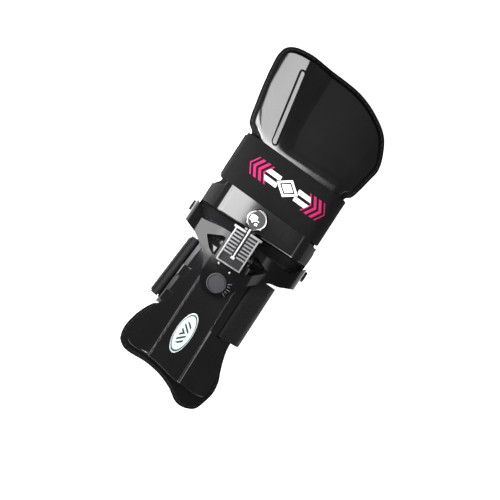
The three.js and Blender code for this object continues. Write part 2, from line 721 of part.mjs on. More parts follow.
function strapBar(spare) {
  const [across, length, wall] = [BAR_WIDTH, BAR_LENGTH, BAR_WALL].map((size) => size + 2 * spare);
  const straight = solidOf(new THREE.BoxGeometry(across, length, wall));
  return warped(straight, (p) => {
    const x = BAR_X + p.x + p.y * BAR_LEAN;
    const steep = ARM_RADIUS / Math.sqrt(ARM_RADIUS ** 2 - (x - ARM_CENTRE_X) ** 2);
    const depth = (PLATE_WALL + 2 * CLEARANCE) * steep + BAR_WALL / 2;
    return new THREE.Vector3(x, barY + p.y, archAt(x) - depth + p.z);
  });
}

function armPlate() {
  const outline = rounded(ARM_PLATE_OUTLINE.map(armPlateAt), 4, true);
  let keep = slab("z", outline, 0, FAR);
  for (const share of TAB_PLACES) {
    const y = barY - share * BAR_LENGTH;
    const x = BAR_X + (y - barY) * BAR_LEAN;
    const low = [x - BAR_WIDTH / 2, y - TAB_WIDTH / 2, 0];
    keep = keep.add(block(low, [x + 2 * BAR_WIDTH, y + TAB_WIDTH / 2, FAR]));
  }
  const slot = block(
    [SLOT_X - SLOT_WIDTH / 2, ARM_STRAP_CENTRE - ARM_STRAP_WIDTH / 2 - SLOT_SPARE, 0],
    [SLOT_X + SLOT_WIDTH / 2, ARM_STRAP_CENTRE + ARM_STRAP_WIDTH / 2 + SLOT_SPARE, FAR],
  );
  const pivot = roundBar("z", PIVOT_RADIUS + CLEARANCE, [MECH_X, PIVOT_Y], 0, FAR);
  return sheet(armSections(true), 0, PLATE_WALL).intersect(keep).subtract(slot).subtract(pivot);
}

function wristFlap() {
  const wrist = armSections(false).at(-1).profile;
  const under = offset(wrist, FLAP_BITE - PAD_DEPTH - PAD_WALL);
  const lowered = under.map(([x, z]) => [x, Math.min(z, FLAP_TOP)]);
  const sections = FLAP_SECTIONS.map(({ behind, low }) => ({
    y: AXIS_Y - behind,
    profile: low ? lowered : under,
  }));
  const corner = (side) => ({ across, behind }) => [
    ARM_CENTRE_X + (side * across * ARM_WIDTH) / 2,
    AXIS_Y - behind,
  ];
  const outline = [...FLAP_OUTLINE.map(corner(-1)), ...FLAP_OUTLINE.map(corner(1)).reverse()];
  return sheet(sections, 0, FLAP_WALL).intersect(slab("z", rounded(outline, 4, true), 0, FAR));
}

function armPad() {
  const outline = smooth(ARM_OUTLINE.map(armAt), 70);
  const blank = sheet(armSections(false), PAD_DEPTH, PAD_WALL);
  return blank
    .intersect(slab("z", outline, 0, FAR))
    .add(wristFlap())
    .subtract(strapBar(CLEARANCE));
}

// Forearm strap: out of the slot, over the plate's edge, round under the forearm and up to the strap bar.
function armStrap() {
  const lift = STRAP_WALL / 2 + CLEARANCE;
  const half = ARM_STRAP_OUT / 2 - STRAP_WALL / 2;
  const middle = ARM_CENTRE_X + 0.4;
  const side = (share, height) => [middle + share * half, height * ARM_TOP];
  const over = (x) => [x, archAt(x) + lift * 1.35];
  const barEnd = BAR_X - BAR_WIDTH / 2 - STRAP_WALL;
  const line = [
    [barEnd, archAt(barEnd) - PLATE_WALL * 0.6],
    side(-0.9, 0.735),
    side(-0.985, 0.6),
    side(-1, 0.4),
    side(-0.93, 0.2),
    side(-0.72, 0.06),
    [middle - 0.5 * half, STRAP_WALL / 2],
    [middle + 0.5 * half, STRAP_WALL / 2],
    side(0.72, 0.06),
    side(0.93, 0.2),
    side(1, 0.4),
    side(0.985, 0.6),
    side(0.935, 0.77),
    over(SLOT_X + 8),
    over(SLOT_X + 3.4),
    [SLOT_X + 0.5, archAt(SLOT_X) + lift],
    [SLOT_X - 0.1, archAt(SLOT_X) - PLATE_WALL + CLEARANCE],
  ];
  const strap = band(rounded(line, 3), STRAP_WALL, ARM_STRAP_CENTRE, ARM_STRAP_WIDTH);
  const from = middle - 0.5 * half;
  return warped(strap, (p) => {
    const share = THREE.MathUtils.clamp((from - p.x) / 8, 0, 1);
    return p.setX(p.x + share * (p.y - ARM_STRAP_CENTRE) * BAR_LEAN);
  });
}

function badge() {
  const line = [];
  for (let i = 0; i < 32; i++) {
    const turn = (Math.PI * i) / 16;
    line.push([
      MECH_X + (Math.cos(turn) * BADGE_WIDTH) / 2,
      BADGE_Y + (Math.sin(turn) * BADGE_LENGTH) / 2,
    ]);
  }
  return slab("z", line, ARM_TOP + CLEARANCE, ARM_TOP + CLEARANCE + BADGE_WALL);
}

// Yoke with its ears and ratchet lugs

const yokeAt = ({ across, along }) => [
  EAR_CENTRE_X + (across * EAR_SPAN) / 2,
  YOKE_REAR + along * YOKE_LENGTH,
];

function yokeProfile() {
  const half = [
    [MIDDLE_WIDTH / 2, YOKE_TOP],
    [SHOULDER_WIDTH / 2, YOKE_TOP - SHOULDER_DROP],
    [YOKE_EAR_OUT, EAR_TOP],
    [YOKE_EAR_OUT, AXIS_Z - EAR_RADIUS],
  ];
  const right = half.map(([out, z]) => [EAR_CENTRE_X + out, z]);
  const left = half.map(([out, z]) => [EAR_CENTRE_X - out, z]).reverse();
  return rounded([...left, ...right], 4);
}

// Side view of the yoke in y z: arms above, an ear tapering round the hinge axis below.
function yokeSide() {
  const line = [
    [YOKE_REAR - 1, EAR_TOP],
    [YOKE_REAR - 1, FAR],
    [FAR, FAR],
    [FAR, EAR_TOP],
    [AXIS_Y + EAR_RADIUS + 1, EAR_TOP],
  ];
  for (let turn = 0; turn >= -160; turn -= 16) {
    const a = (turn * Math.PI) / 180;
    line.push([AXIS_Y + EAR_RADIUS * Math.cos(a), AXIS_Z + EAR_RADIUS * Math.sin(a)]);
  }
  return line;
}

function lug(side) {
  const faces = [LUG_SPAN / 2, LUG_SPAN / 2 + LUG_WALL].map((out) => MECH_X + side * out);
  const front = LUG_REAR + LUG_LENGTH;
  const foot = YOKE_TOP - YOKE_WALL / 2;
  const shoulder = YOKE_TOP + LUG_SHOULDER * (LUG_TOP - YOKE_TOP);
  const line = rounded(
    [
      [LUG_REAR, foot],
      [front, foot],
      [front, shoulder],
      [TRUNNION_Y + LUG_CREST / 2, LUG_TOP],
      [TRUNNION_Y - LUG_CREST / 2, LUG_TOP],
      [LUG_REAR, shoulder],
    ],
    LUG_WALL,
    true,
  );
  return slab("x", line, Math.min(...faces), Math.max(...faces));
}

function window(side) {
  const inner = MECH_X + side * (LUG_SPAN / 2 + LUG_WALL);
  const span = EAR_CENTRE_X + side * YOKE_EAR_OUT - inner;
  const line = WINDOW_OUTLINE.map(({ out, along }) => [inner + out * span, YOKE_REAR + along * YOKE_LENGTH]);
  return slab("z", rounded(line, 1, true), 0, FAR);
}

function yoke() {
  const profile = yokeProfile();
  const skin = [...profile, ...offset(profile, -YOKE_WALL).reverse()];
  let plate = slab("y", skin, YOKE_REAR - 1, YOKE_REAR + YOKE_LENGTH + EAR_RADIUS);
  plate = plate
    .intersect(slab("z", rounded(YOKE_OUTLINE.map(yokeAt), 1.5, true), 0, FAR))
    .intersect(slab("x", yokeSide(), -FAR, FAR));
  for (const side of sides) {
    plate = plate.subtract(window(side)).add(lug(side));
  }
  return plate
    .subtract(roundBar("x", SCREW_RADIUS + CLEARANCE, [AXIS_Y, AXIS_Z], -FAR, FAR))
    .subtract(roundBar("x", TRUNNION_RADIUS + CLEARANCE, [TRUNNION_Y, TRUNNION_Z], -FAR, FAR, 16))
    .subtract(roundBar("z", PIVOT_RADIUS + CLEARANCE, [MECH_X, PIVOT_Y], 0, FAR));
}

// Hinge screw through both ears, its profile running outward from its inner end.
function earScrew(side) {
  const inside = HAND_EAR_IN - CLEARANCE;
  const outside = YOKE_EAR_OUT + CLEARANCE;
  const nut = SCREW_HEAD_RADIUS * 0.75;
  const profile = [
    [0, inside - NUT_HEIGHT],
    [nut, inside - NUT_HEIGHT],
    [nut, inside],
    [SCREW_RADIUS, inside],
    [SCREW_RADIUS, outside],
    [SCREW_HEAD_RADIUS, outside],
    [SCREW_HEAD_RADIUS, outside + SCREW_HEAD_HEIGHT * 0.7],
    [SCREW_HEAD_RADIUS * 0.85, outside + SCREW_HEAD_HEIGHT],
    [0, outside + SCREW_HEAD_HEIGHT],
  ];
  const placed = profile.map(([radius, place]) => [radius, side * place]);
  return turned("x", placed, [EAR_CENTRE_X, AXIS_Y, AXIS_Z], 20);
}

// Cap over the swivel pivot, with its shank down through the yoke and the forearm plate.
function pivotCap() {
  const head = YOKE_TOP + CLEARANCE;
  const foot = ARM_TOP - PLATE_WALL;
  const profile = [
    [0, foot],
    [PIVOT_RADIUS, foot],
    [PIVOT_RADIUS, head],
    [CAP_RADIUS, head],
    [CAP_RADIUS, head + CAP_HEIGHT * 0.75],
    [CAP_RADIUS * 0.9, head + CAP_HEIGHT],
    [CAP_RADIUS * 0.8, head + CAP_HEIGHT],
    [CAP_RADIUS * 0.76, head + CAP_HEIGHT * 0.8],
    [0, head + CAP_HEIGHT * 0.8],
  ];
  return turned("z", profile, [MECH_X, PIVOT_Y, 0], 28);
}

// Ratchet frame: a tray with two rows of teeth, a middle channel and a trunnion on each side.
function ratchetFrame() {
  const half = FRAME_WIDTH / 2;
  const rear = FRAME_FRONT - FRAME_LENGTH;
  const floor = FRAME_BOTTOM + FRAME_FLOOR;
  const top = FRAME_BOTTOM + FRAME_HEIGHT;
  const outer = block([MECH_X - half, rear, FRAME_BOTTOM], [MECH_X + half, FRAME_FRONT, top]);
  const inner = block(
    [MECH_X - half + FRAME_WALL, rear + FRAME_WALL, floor],
    [MECH_X + half - FRAME_WALL, FRAME_FRONT - FRAME_WALL, FAR],
  );
  const gate = block(
    [MECH_X - CHANNEL_WIDTH / 2, FRAME_FRONT - 2 * FRAME_WALL, floor],
    [MECH_X + CHANNEL_WIDTH / 2, FRAME_FRONT + 1, FAR],
  );
  const bar = block(
    [MECH_X - FRONT_BAR_WIDTH / 2, FRAME_FRONT - FRONT_BAR_LENGTH, floor],
    [MECH_X + FRONT_BAR_WIDTH / 2, FRAME_FRONT, top],
  );
  let frame = outer.subtract(inner).add(bar).subtract(gate);
  for (const side of sides) {
    const edges = [CHANNEL_WIDTH / 2, half - FRAME_WALL / 2].map((out) => MECH_X + side * out);
    for (let i = 0; i < TOOTH_COUNT; i++) {
      const y = FRAME_FRONT - FIRST_TOOTH - i * TOOTH_PITCH;
      const tooth = block(
        [Math.min(...edges), y - TOOTH_WIDTH / 2, floor - FRAME_FLOOR / 2],
        [Math.max(...edges), y + TOOTH_WIDTH / 2, floor + TOOTH_HEIGHT],
      );
      frame = frame.add(tooth);
    }
    const ends = [half - FRAME_WALL / 2, LUG_SPAN / 2 + 1.4 * LUG_WALL].map((out) => MECH_X + side * out);
    const trunnion = roundBar(
      "x",
      TRUNNION_RADIUS,
      [TRUNNION_Y, TRUNNION_Z],
      Math.min(...ends),
      Math.max(...ends),
      12,
    );
    frame = frame.add(trunnion);
  }
  return frame;
}

// Where the lifting rod's foot rests: just behind the last tooth.
const lastTooth = FRAME_FRONT - FIRST_TOOTH - (TOOTH_COUNT - 1) * TOOTH_PITCH;
const footY = lastTooth - (TOOTH_WIDTH + FOOT_LENGTH) / 2;
const ballBore = { radius: ROD_RADIUS + CLEARANCE, depth: 0.72 * BALL_RADIUS };
const neckRear = FRAME_FRONT - FRAME_WALL;

// Lifting rod with its T foot, screwed into the ball knob.
function liftRod() {
  const end = neckRear + ballBore.depth - CLEARANCE;
  const rod = roundBar("y", ROD_RADIUS, [MECH_X, ROD_Z], footY, end, 12);
  const foot = block(
    [MECH_X - FOOT_WIDTH / 2, footY - FOOT_LENGTH / 2, ROD_Z - FOOT_HEIGHT / 2],
    [MECH_X + FOOT_WIDTH / 2, footY + FOOT_LENGTH / 2, ROD_Z + FOOT_HEIGHT / 2],
  );
  return rod.add(foot);
}

// Ball knob with its neck, bored from behind for the rod.
function ballKnob() {
  const profile = [
    [0, neckRear + ballBore.depth],
    [ballBore.radius, neckRear + ballBore.depth],
    [ballBore.radius, neckRear],
    [NECK_RADIUS, neckRear],
  ];
  const first = Math.asin(NECK_RADIUS / BALL_RADIUS);
  const steps = 12;
  for (let i = 0; i <= steps; i++) {
    const turn = first + ((Math.PI - first) * i) / steps;
    const radius = i === steps ? 0 : BALL_RADIUS * Math.sin(turn);
    profile.push([radius, BALL_Y - BALL_RADIUS * Math.cos(turn)]);
  }
  return turned("y", profile, [MECH_X, 0, ROD_Z], 24);
}

add("hand_plate", handPlate(), 0x1b1b1e, 0.22, 0.5);
add("hand_pad", handPad(), 0x121214, 0.85, 0);
add("hand_strap", handStrap(), 0x161618, 0.75, 0);
add("yoke", yoke(), 0x17171a, 0.35, 0.5);
add("ear_screw_left", earScrew(-1), 0x2a2a2d, 0.4, 0.7);
add("ear_screw_right", earScrew(1), 0x2a2a2d, 0.4, 0.7);
add("pivot_cap", pivotCap(), 0x4a4a4e, 0.45, 0.7);
add("ratchet_frame", ratchetFrame(), 0xb4b4b8, 0.3, 0.9);
add("lift_rod", liftRod(), 0xc8c8cc, 0.25, 0.95);
add("ball_knob", ballKnob(), 0xe4e4e8, 0.06, 1);
add("forearm_plate", armPlate(), 0x1b1b1e, 0.3, 0.5);
add("forearm_pad", armPad(), 0x121214, 0.85, 0);
add("forearm_strap", armStrap(), 0x141416, 0.85, 0);
add("strap_bar", strapBar(0), 0x9a9a9e, 0.35, 0.9);
add("badge", badge(), 0xeeeeee, 0.35, 0);

// The origin is the middle of the underside of the whole brace.
const box = new THREE.Box3().setFromObject(group);
const centre = box.getCenter(new THREE.Vector3());
group.position.set(-centre.x, -centre.y, -box.min.z);

export default group;
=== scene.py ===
"""Looks of a rigid wrist brace for bowling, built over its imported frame.

Metres. Seen from above, +X runs to the right, +Y to the front, where the hand half is, and +Z up.
"""

from __future__ import annotations

import logging
import math
from dataclasses import dataclass, field
from enum import Enum
from typing import Callable, Sequence

import bpy
import numpy as np
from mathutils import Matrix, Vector


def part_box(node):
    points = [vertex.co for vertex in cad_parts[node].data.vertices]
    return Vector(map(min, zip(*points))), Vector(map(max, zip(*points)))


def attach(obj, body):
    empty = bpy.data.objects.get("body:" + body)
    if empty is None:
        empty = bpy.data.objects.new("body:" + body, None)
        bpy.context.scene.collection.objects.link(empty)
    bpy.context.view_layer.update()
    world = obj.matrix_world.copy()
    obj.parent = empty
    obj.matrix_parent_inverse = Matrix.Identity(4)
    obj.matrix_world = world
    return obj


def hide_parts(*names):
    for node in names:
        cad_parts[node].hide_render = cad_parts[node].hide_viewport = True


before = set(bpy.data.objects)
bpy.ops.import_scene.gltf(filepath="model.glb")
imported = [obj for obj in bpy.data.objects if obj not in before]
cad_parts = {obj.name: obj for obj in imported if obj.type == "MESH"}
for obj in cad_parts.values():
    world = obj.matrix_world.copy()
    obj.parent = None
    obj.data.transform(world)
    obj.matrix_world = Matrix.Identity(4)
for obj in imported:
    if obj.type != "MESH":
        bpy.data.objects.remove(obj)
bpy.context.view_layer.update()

MM = 0.001
LOG = logging.getLogger("brace")

PAD_ROUNDING = 1.35 * MM
STITCH_INSET = 1.9 * MM
TAPE_LIFT = 0.1 * MM
TAPE_REACH = 2.6 * MM

Points = np.ndarray
Color = tuple[float, float, float]


class Slot(Enum):
    """The record's material slots."""

    PLATE = "plate_black"
    YOKE = "yoke_black"
    PAD = "pad_cloth"
    BAND = "strap_cloth"
    WEB = "strap_web"
    STEEL = "steel_satin"
    CHROME = "chrome"
    SCREW = "screw_dark"
    CAP = "cap_grey"
    BADGE = "badge_white"


class Along(Enum):
    """The way that a brushed or a woven finish runs."""

    X = (1.0, 0.0, 0.0)
    Y = (0.0, 1.0, 0.0)
    Z = (0.0, 0.0, 1.0)


# Shader maths


class Signal:
    """A number that varies over a surface, with the operators that shader maths needs."""

    def __init__(self, paint: Paint, socket: bpy.types.NodeSocket) -> None:
        """Wraps an output socket of a node of that paint."""
        self.paint = paint
        self.socket = socket

    def math(self, operation: str, *others: Signal | float) -> Signal:
        """Adds a Math node.

        Args:
            operation: Blender's name of the operation.
            others: what follows this number in it.

        Returns:
            The node's result.
        """
        return self.paint.math(operation, self, *others)

    def __add__(self, other: Signal | float) -> Signal:
        """Sum."""
        return self.math("ADD", other)

    __radd__ = __add__

    def __sub__(self, other: Signal | float) -> Signal:
        """Difference."""
        return self.math("SUBTRACT", other)

    def __rsub__(self, other: float) -> Signal:
        """Difference, from a plain number."""
        return self.paint.math("SUBTRACT", other, self)

    def __mul__(self, other: Signal | float) -> Signal:
        """Product."""
        return self.math("MULTIPLY", other)

    __rmul__ = __mul__

    def __truediv__(self, other: Signal | float) -> Signal:
        """Quotient."""
        return self.math("DIVIDE", other)

    def __abs__(self) -> Signal:
        """Size without its sign."""
        return self.math("ABSOLUTE")

    def __mod__(self, other: float) -> Signal:
        """Rest after a division, never negative."""
        return self.math("FLOORED_MODULO", other)

    def step(self, low: float, high: float) -> Signal:
        """Smooth step.

        Args:
            low: where it is 0.
            high: where it is 1. It may lie under low.

        Returns:
            A number from 0 to 1.
        """
        node = self.paint.node(
            "ShaderNodeMapRange",
            {"interpolation_type": "SMOOTHSTEP"},
            {"Value": self, "From Min": low, "From Max": high},
        )
        return Signal(self.paint, node.outputs["Result"])

    def wave(self, pitch: float) -> Signal:
        """Ridges from 0 to 1, one for each pitch."""
        return (self * (2 * math.pi / pitch)).math("SINE") * 0.5 + 0.5


Input = Signal | bpy.types.NodeSocket | float | Sequence[float]


class Paint:
    """A material, with the nodes that it is made of."""

    def __init__(self, name: str, **constants: float | Sequence[float]) -> None:
        """Makes a material with one Principled shader.

        Args:
            name: the material's name.
            constants: the shader's settings that are the same all over, with _ for a space.
        """
        self.material = bpy.data.materials.new(name)
        self.material.use_nodes = True
        self.tree = self.material.node_tree
        self.shader = next(n for n in self.tree.nodes if n.type == "BSDF_PRINCIPLED")
        self.coordinates: dict[str, bpy.types.NodeSocket] = {}
        for key, value in constants.items():
            self.shader.inputs[key.replace("_", " ")].default_value = value

    def node(self, kind: str, settings: dict[str, object], inputs: dict[str | int, Input]) -> bpy.types.Node:
        """Adds a node.

        Args:
            kind: Blender's name of the node type.
            settings: properties that are set first.
            inputs: values or links of its sockets, by name or place.

        Returns:
            The node.
        """
        made = self.tree.nodes.new(kind)
        for key, value in settings.items():
            setattr(made, key, value)
        for key, value in inputs.items():
            self.feed(made.inputs[key], value)
        return made

    def feed(self, socket: bpy.types.NodeSocket, value: Input) -> None:
        """Links a socket, or sets it to a plain value.

        Args:
            socket: an input of a node.
            value: what it gets.
        """
        if isinstance(value, Signal):
            value = value.socket
        if isinstance(value, bpy.types.NodeSocket):
            self.tree.links.new(value, socket)
        else:
            socket.default_value = value

    def math(self, operation: str, *values: Signal | float) -> Signal:
        """Adds a Math node on two or three numbers."""
        made = self.node("ShaderNodeMath", {"operation": operation}, dict(enumerate(values)))
        return Signal(self, made.outputs[0])

    def places(self, stretch: Sequence[float] = (1, 1, 1), turn: float = 0.0) -> bpy.types.NodeSocket:
        """Places on the piece in millimetres.

        Args:
            stretch: scale along each axis.
            turn: turn about Z, in radians.

        Returns:
            The vector output.
        """
        source = self.node("ShaderNodeTexCoord", {}, {}).outputs["Object"]
        return self.mapped(source, stretch, turn)

    def cloth(self, stretch: Sequence[float] = (1, 1, 1)) -> bpy.types.NodeSocket:
        """Places on the flat cut of a band in millimetres, from its own UV map."""
        return self.mapped(self.node("ShaderNodeUVMap", {}, {}).outputs["UV"], stretch, 0.0)

    def mapped(
        self, source: bpy.types.NodeSocket, stretch: Sequence[float], turn: float
    ) -> bpy.types.NodeSocket:
        """Puts a vector in millimetres, turned and stretched.

        Args:
            source: the vector, in metres.
            stretch: scale along each axis.
            turn: turn about Z, in radians.

        Returns:
            The vector output.
        """
        scale = [s / MM for s in stretch]
        inputs = {"Vector": source, "Scale": scale, "Rotation": (0, 0, turn)}
        return self.node("ShaderNodeMapping", {}, inputs).outputs["Vector"]

    def split(self, vector: bpy.types.NodeSocket) -> tuple[Signal, Signal, Signal]:
        """Takes a vector apart.

        Args:
            vector: a vector output.

        Returns:
            Its x, y and z.
        """
        made = self.node("ShaderNodeSeparateXYZ", {}, {"Vector": vector})
        x, y, z = (Signal(self, made.outputs[axis]) for axis in "XYZ")
        return x, y, z

    def noise(self, vector: bpy.types.NodeSocket, size: float, detail: float = 2.0) -> Signal:
        """Cloudy noise from 0 to 1.

        Args:
            vector: where to read it, in millimetres.
            size: of its clouds, in millimetres.
            detail: how many finer layers it has.

        Returns:
            The noise.
        """
        made = self.node("ShaderNodeTexNoise", {}, {"Vector": vector, "Scale": 1 / size, "Detail": detail})
        return Signal(self, made.outputs["Fac"])

    def blend(self, share: Signal, first: Input, second: Input) -> bpy.types.NodeSocket:
        """Mixes two colours.

        Args:
            share: 0 for the first, 1 for the second.
            first: a colour.
            second: another.

        Returns:
            The colour output.
        """
        made = self.node("ShaderNodeMix", {"data_type": "RGBA"}, {"Factor": share})
        colours = [s for s in made.inputs if s.type == "RGBA"]
        for socket, value in zip(colours, (first, second)):
            self.feed(socket, (*value, 1) if isinstance(value, tuple) else value)
        return next(s for s in made.outputs if s.type == "RGBA")

    def set(self, name: str, value: Input) -> None:
        """Feeds one of the shader's sockets."""
        self.feed(self.shader.inputs[name], (*value, 1) if isinstance(value, tuple) else value)

    def bump(self, height: Signal, strength: float = 1.0) -> None:
        """Raises the surface.

        Args:
            height: in millimetres.
            strength: share of the relief that shows.
        """
        inputs = {"Height": height, "Strength": strength, "Distance": MM}
        self.set("Normal", self.node("ShaderNodeBump", {}, inputs).outputs["Normal"])


# Finishes


@dataclass(frozen=True)
class Enamel:
    """Black enamel on formed metal, with a faint peel, haze and fine scratches."""

    name: str
    color: Color = (0.0035, 0.0035, 0.004)
    roughness: float = 0.12
    haze: float = 0.05
    gloss: float = 1.0

    def material(self) -> bpy.types.Material:
        """Makes the material.

        Returns:
            The material.
        """
        shine = {"Coat_Weight": 0.35 * self.gloss, "Specular_IOR_Level": 0.5 * self.gloss}
        paint = Paint(self.name, Coat_Roughness=0.09, **shine)
        places = paint.places()
        cloud = paint.noise(places, 26.0, 4.0)
        hair = paint.noise(paint.places((0.05, 2.6, 1.0), 0.5), 1.0, 3.0).step(0.62, 0.72)
        grain = paint.noise(places, 0.35, 2.0)
        wear_and_painted_light = hair * cloud.step(0.35, 0.7)
        paint.set("Roughness", cloud * self.haze + wear_and_painted_light * 0.12 + (self.roughness - self.haze / 2))
        dust = tuple(c + 0.003 for c in self.color)
        paint.set("Base Color", paint.blend(cloud.step(0.4, 0.8) * 0.6 + wear_and_painted_light * 0.3, self.color, dust))
        paint.bump(paint.noise(places, 9.0, 1.0) * 0.02 + grain * 0.0008 - wear_and_painted_light * 0.001)
        return paint.material


@dataclass(frozen=True)
class Knit:
    """Black knitted cover of the padding, with rows of small loops."""

    name: str
    color: Color = (0.003, 0.003, 0.0033)
    pitch: float = 0.9

    def material(self) -> bpy.types.Material:
        """Makes the material.

        Returns:
            The material.
        """
        paint = Paint(self.name, Sheen_Weight=0.03, Sheen_Roughness=0.45, Specular_IOR_Level=0.08)
        x, y, _ = paint.split(paint.places())
        loops = x.wave(self.pitch) * (y + x.wave(self.pitch) * (0.3 * self.pitch)).wave(self.pitch * 0.8)
        fluff = paint.noise(paint.places(), 0.25, 3.0)
        cloud = paint.noise(paint.places(), 14.0, 3.0)
        light = tuple(3.2 * c for c in self.color)
        paint.set("Base Color", paint.blend(loops * 0.5 + cloud * 0.35 + fluff * 0.2, self.color, light))
        paint.set("Roughness", 0.92 - loops * 0.2)
        paint.bump(loops * 0.22 + fluff * 0.1, 0.8)
        return paint.material


@dataclass(frozen=True)
class Binding:
    """Ribbed tape that binds the padding's edge."""

    name: str
    color: Color = (0.0038, 0.0038, 0.004)
    pitch: float = 1.1

    def material(self) -> bpy.types.Material:
        """Makes the material.

        Returns:
            The material.
        """
        paint = Paint(self.name, Sheen_Weight=0.03, Sheen_Roughness=0.4, Specular_IOR_Level=0.12)
        along, across, _ = paint.split(paint.cloth())
        ribs = along.wave(self.pitch)
        threads = (across + along * 0.5).wave(0.5)
        light = tuple(4.0 * c for c in self.color)
        paint.set("Base Color", paint.blend(ribs * 0.6 + threads * 0.2, self.color, light))
        paint.set("Roughness", 0.85 - ribs * 0.25)
        paint.bump(ribs * 0.25 + threads * 0.05, 0.9)
        return paint.material


@dataclass(frozen=True)
class Webbing:
    """Ribbed hook-and-loop webbing."""

    name: str
    color: Color = (0.0032, 0.0032, 0.0035)
    pitch: float = 1.4

    def material(self) -> bpy.types.Material:
        """Makes the material.

        Returns:
            The material.
        """
        paint = Paint(self.name, Sheen_Weight=0.03, Sheen_Roughness=0.5, Specular_IOR_Level=0.1)
        along, across, _ = paint.split(paint.cloth())
        rows = across.wave(self.pitch)
        cross = (along + rows * (0.4 * self.pitch)).wave(0.7 * self.pitch)
        fluff = paint.noise(paint.cloth(), 0.3, 3.0)
        weave = rows * 0.6 + cross * 0.4
        light = tuple(4.5 * c for c in self.color)
        paint.set("Base Color", paint.blend(weave * 0.7 + fluff * 0.25, self.color, light))
        paint.set("Roughness", 0.9 - weave * 0.2)
        paint.bump(weave * 0.3 + fluff * 0.12, 0.9)
        return paint.material


@dataclass(frozen=True)
class PrintedBand:
    """Black woven band with a plain sports stripe print: chevrons at its ends, bars and a lozenge between."""

    name: str
    centre: tuple[float, float]
    lean: float
    color: Color = (0.0028, 0.0028, 0.003)
    ink_white: Color = (0.93, 0.93, 0.93)
    ink_pink: Color = (0.36, 0.012, 0.09)
    half: float = 31.0
    height: float = 7.2

    def material(self) -> bpy.types.Material:
        """Makes the material.

        Returns:
            The material.
        """
        paint = Paint(self.name, Sheen_Weight=0.02, Sheen_Roughness=0.5, Specular_IOR_Level=0.08)
        x, y, z = paint.split(paint.places())
        across = x - self.centre[0]
        along = y - self.centre[1] + across * self.lean
        warp = x.wave(0.9)
        weft = (y + warp * 0.25).wave(0.8)
        weave = warp * 0.5 + weft * 0.5
        out = abs(across)
        high = abs(along)
        top = z.step(44.5, 45.5)
        inside = high.step(self.height + 0.15, self.height - 0.15) * top
        leaning = out + high * 0.6
        chevrons = abs((leaning - self.half) % 4.4 - 2.2).step(1.25, 1.0)
        ends = leaning.step(self.half - 11.2, self.half - 11.0)
        ends = ends * leaning.step(self.half + 2.2, self.half + 2.0)
        pink = chevrons * ends * inside
        gem = out / 9.2 + high / 7.0
        stone = gem.step(0.56, 0.53) + gem.step(0.72, 0.75) * gem.step(1.03, 1.0)
        bars = abs(high - 2.9).step(1.75, 1.6) * out.step(7.6, 7.8) * (out + high * 0.6).step(20.4, 20.1)
        bars = bars * gem.step(1.14, 1.17)
        white = (stone + bars).math("MINIMUM", 1.0) * inside
        light = tuple(3.5 * c for c in self.color)
        cloth = paint.blend(weave * 0.7, self.color, light)
        wear_and_painted_light = 1 - weave * 0.12
        pinked = paint.blend(pink * wear_and_painted_light, cloth, self.ink_pink)
        paint.set("Base Color", paint.blend(white * wear_and_painted_light, pinked, self.ink_white))
        paint.set("Roughness", 0.88 - (pink + white) * 0.35)
        paint.bump(weave * 0.16 + (pink + white) * 0.1, 0.8)
        return paint.material


@dataclass(frozen=True)
class Steel:
    """Bare steel with brush marks."""

    name: str
    along: Along
    color: Color = (0.55, 0.55, 0.56)
    roughness: float = 0.28

    def material(self) -> bpy.types.Material:
        """Makes the material.

        Returns:
            The material.
        """
        paint = Paint(self.name, Metallic=1.0)
        stretch = tuple(0.06 if part else 4.0 for part in self.along.value)
        brush = paint.noise(paint.places(stretch), 1.0, 3.0)
        cloud = paint.noise(paint.places(), 5.0, 3.0)
        dark = tuple(0.55 * c for c in self.color)
        paint.set("Base Color", paint.blend(cloud * 0.5 + brush * 0.35, self.color, dark))
        paint.set("Roughness", brush * 0.14 + cloud * 0.1 + (self.roughness - 0.12))
        paint.bump(brush * 0.012)
        return paint.material


@dataclass(frozen=True)
class CastSteelPaintedLight:
    """Plated steel with painted light: a painted highlight at its top edges and painted shade down in its
    hollows.
    """

    name: str
    top: float
    depth: float = 2.4
    # Colours: the painted highlight at the top edges, then the painted shade in the hollows.
    painted_highlight: Color = (0.19, 0.19, 0.195)
    dark: Color = (0.024, 0.024, 0.026)

    def material(self) -> bpy.types.Material:
        """Makes the material.

        Returns:
            The material.
        """
        paint = Paint(self.name, Metallic=1.0)
        places = paint.places()
        _, _, z = paint.split(places)
        cloud = paint.noise(places, 1.8, 4.0)
        grit = paint.noise(places, 0.3, 2.0)
        # Painted shade and highlight: the colour runs from dark low in the hollows to light at the top edges,
        # mottled by grit.
        share = (z + cloud * 0.8 - 0.4).step(self.top - self.depth, self.top - 0.25)
        wear_and_painted_light = share * (1 - grit.step(0.5, 0.8) * 0.35)
        paint.set("Base Color", paint.blend(wear_and_painted_light, self.dark, self.painted_highlight))
        paint.set("Roughness", 0.42 - share * 0.16 + cloud * 0.08)
        paint.bump(grit * 0.02 + cloud * 0.02)
        return paint.material


@dataclass(frozen=True)
class Chrome:
    """Bright chrome plate, faintly smudged, with painted shade in its colour from the ball's waist down."""

    name: str
    waist: float
    color: Color = (0.9, 0.9, 0.91)
    # Painted shade: the chrome's colour below the ball's waist.
    below: Color = (0.16, 0.16, 0.165)

    def material(self) -> bpy.types.Material:
        """Makes the material.

        Returns:
            The material.
        """
        paint = Paint(self.name, Metallic=1.0)
        cloud = paint.noise(paint.places(), 3.0, 4.0)
        _, _, z = paint.split(paint.places())
        # Painted shade: the colour turns dark below the ball's waist.
        upper = (z + cloud * 1.2).step(self.waist + 1.2, self.waist + 5.6)
        paint.set("Base Color", paint.blend(upper, self.below, self.color))
        paint.set("Roughness", cloud.step(0.4, 0.75) * 0.07 + 0.035)
        paint.bump(paint.noise(paint.places(), 1.6, 1.0) * 0.004)
        return paint.material


